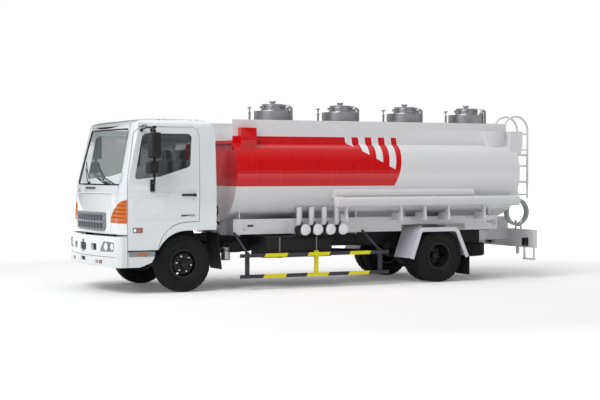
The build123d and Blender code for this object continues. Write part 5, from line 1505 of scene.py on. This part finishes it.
# which of the given ways a surface is being seen: 1 for any of them
def seenBy(tree, *ways):
    outputs = addNode(tree, "LightPath").outputs
    seen = Value(tree, outputs["Is " + ways[0] + " Ray"])
    for way in ways[1:]:
        seen = seen.math("MAXIMUM", Value(tree, outputs["Is " + way + " Ray"]))
    return seen


def makeFloor():
    half = stageLooks["floorSize"] / 2
    mesh = bpy.data.meshes.new("floor")
    corners = [(-half, -half, 0), (half, -half, 0), (half, half, 0), (-half, half, 0)]
    mesh.from_pydata(corners, [], [(0, 1, 2, 3)])
    floor = bpy.data.objects.new("floor", mesh)
    scene.collection.objects.link(floor)
    finish = Finish("floor_tone", stageLooks["floorTone"], 0.9)
    tree = finish.tree
    span = finish.node("VectorMath", {"operation": "LENGTH"}, {0: finish.place()}, out="Value")
    strength = span.rise(*stageLooks["fade"]) * stageLooks["fadeGlow"] + stageLooks["floorGlow"]
    plain = finish.node("BsdfDiffuse", sockets={"Color": rgb(*stageLooks["floorTone"])})
    glow = finish.node("Emission", sockets={"Strength": strength})
    both = addNode(tree, "AddShader")
    choose = addNode(tree, "MixShader", sockets={0: seenBy(tree, "Camera", "Glossy", "Transmission")})
    for start, end in (
        (plain.socket, both.inputs[0]),
        (glow.socket, both.inputs[1]),
        (plain.socket, choose.inputs[1]),
        (both.outputs[0], choose.inputs[2]),
        (choose.outputs[0], tree.nodes["Material Output"].inputs["Surface"]),
    ):
        tree.links.new(start, end)
    mesh.materials.append(finish.material)


def makeWorld():
    world = bpy.data.worlds.new("studio")
    scene.world = world
    world.use_nodes = True
    tree = world.node_tree
    back = tree.nodes["Background"]
    where = addNode(tree, "TexCoord").outputs["Object"]
    height = Value(tree, addNode(tree, "SeparateXYZ", sockets={0: Value(tree, where)}).outputs[2])
    stripLow, stripHigh, stripLight = stageLooks["glossStrip"]
    gloss = height.rise(*stageLooks["glossRise"]) * (stageLooks["glossHigh"] - stageLooks["glossLow"])
    gloss = gloss + stageLooks["glossLow"] + height.between(stripLow, stripHigh) * stripLight
    fill = stageLooks["worldFill"]
    plain = seenBy(tree, "Camera", "Transmission") * (1.0 - fill) + fill
    shiny = seenBy(tree, "Glossy")
    back.inputs["Color"].default_value = rgb(1, 1, 1)
    feed(tree, back.inputs["Strength"], plain * (1.0 - shiny) + gloss * shiny)


# a light or a camera, placed and aimed
def aimed(name, data, place, target):
    obj = bpy.data.objects.new(name, data)
    scene.collection.objects.link(obj)
    obj.location = place
    obj.rotation_euler = (Vector(target) - Vector(place)).to_track_quat("-Z", "Y").to_euler()
    return obj


def makeLamps():
    sun = bpy.data.lights.new("sun", "SUN")
    sun.energy = stageLooks["sunStrength"]
    sun.angle = math.radians(stageLooks["sunAngle"])
    aimed("sun", sun, stageLooks["sunFrom"], (0, 0, 0))
    for name, place, target, size, power in stageLooks["lamps"]:
        lamp = bpy.data.lights.new(name, "AREA")
        lamp.shape = "RECTANGLE"
        lamp.size, lamp.size_y = size
        lamp.energy = power
        aimed(name, lamp, place, target)


def makeCamera():
    data = bpy.data.cameras.new("camera")
    data.lens = cameraLooks["lens"]
    data.sensor_width = cameraLooks["sensor"]
    data.clip_end = 500.0
    place = Vector((frontAxleX + cameraLooks["ahead"], cameraLooks["beside"], cameraLooks["height"]))
    aim = Vector(cameraLooks["aim"]).normalized()
    aim.z = -math.tan(math.radians(cameraLooks["pitch"]))
    scene.camera = aimed("camera", data, place, place + aim)


makeFloor()
makeWorld()
makeLamps()
makeCamera()
scene.view_settings.view_transform = "Standard"
print("stage set")
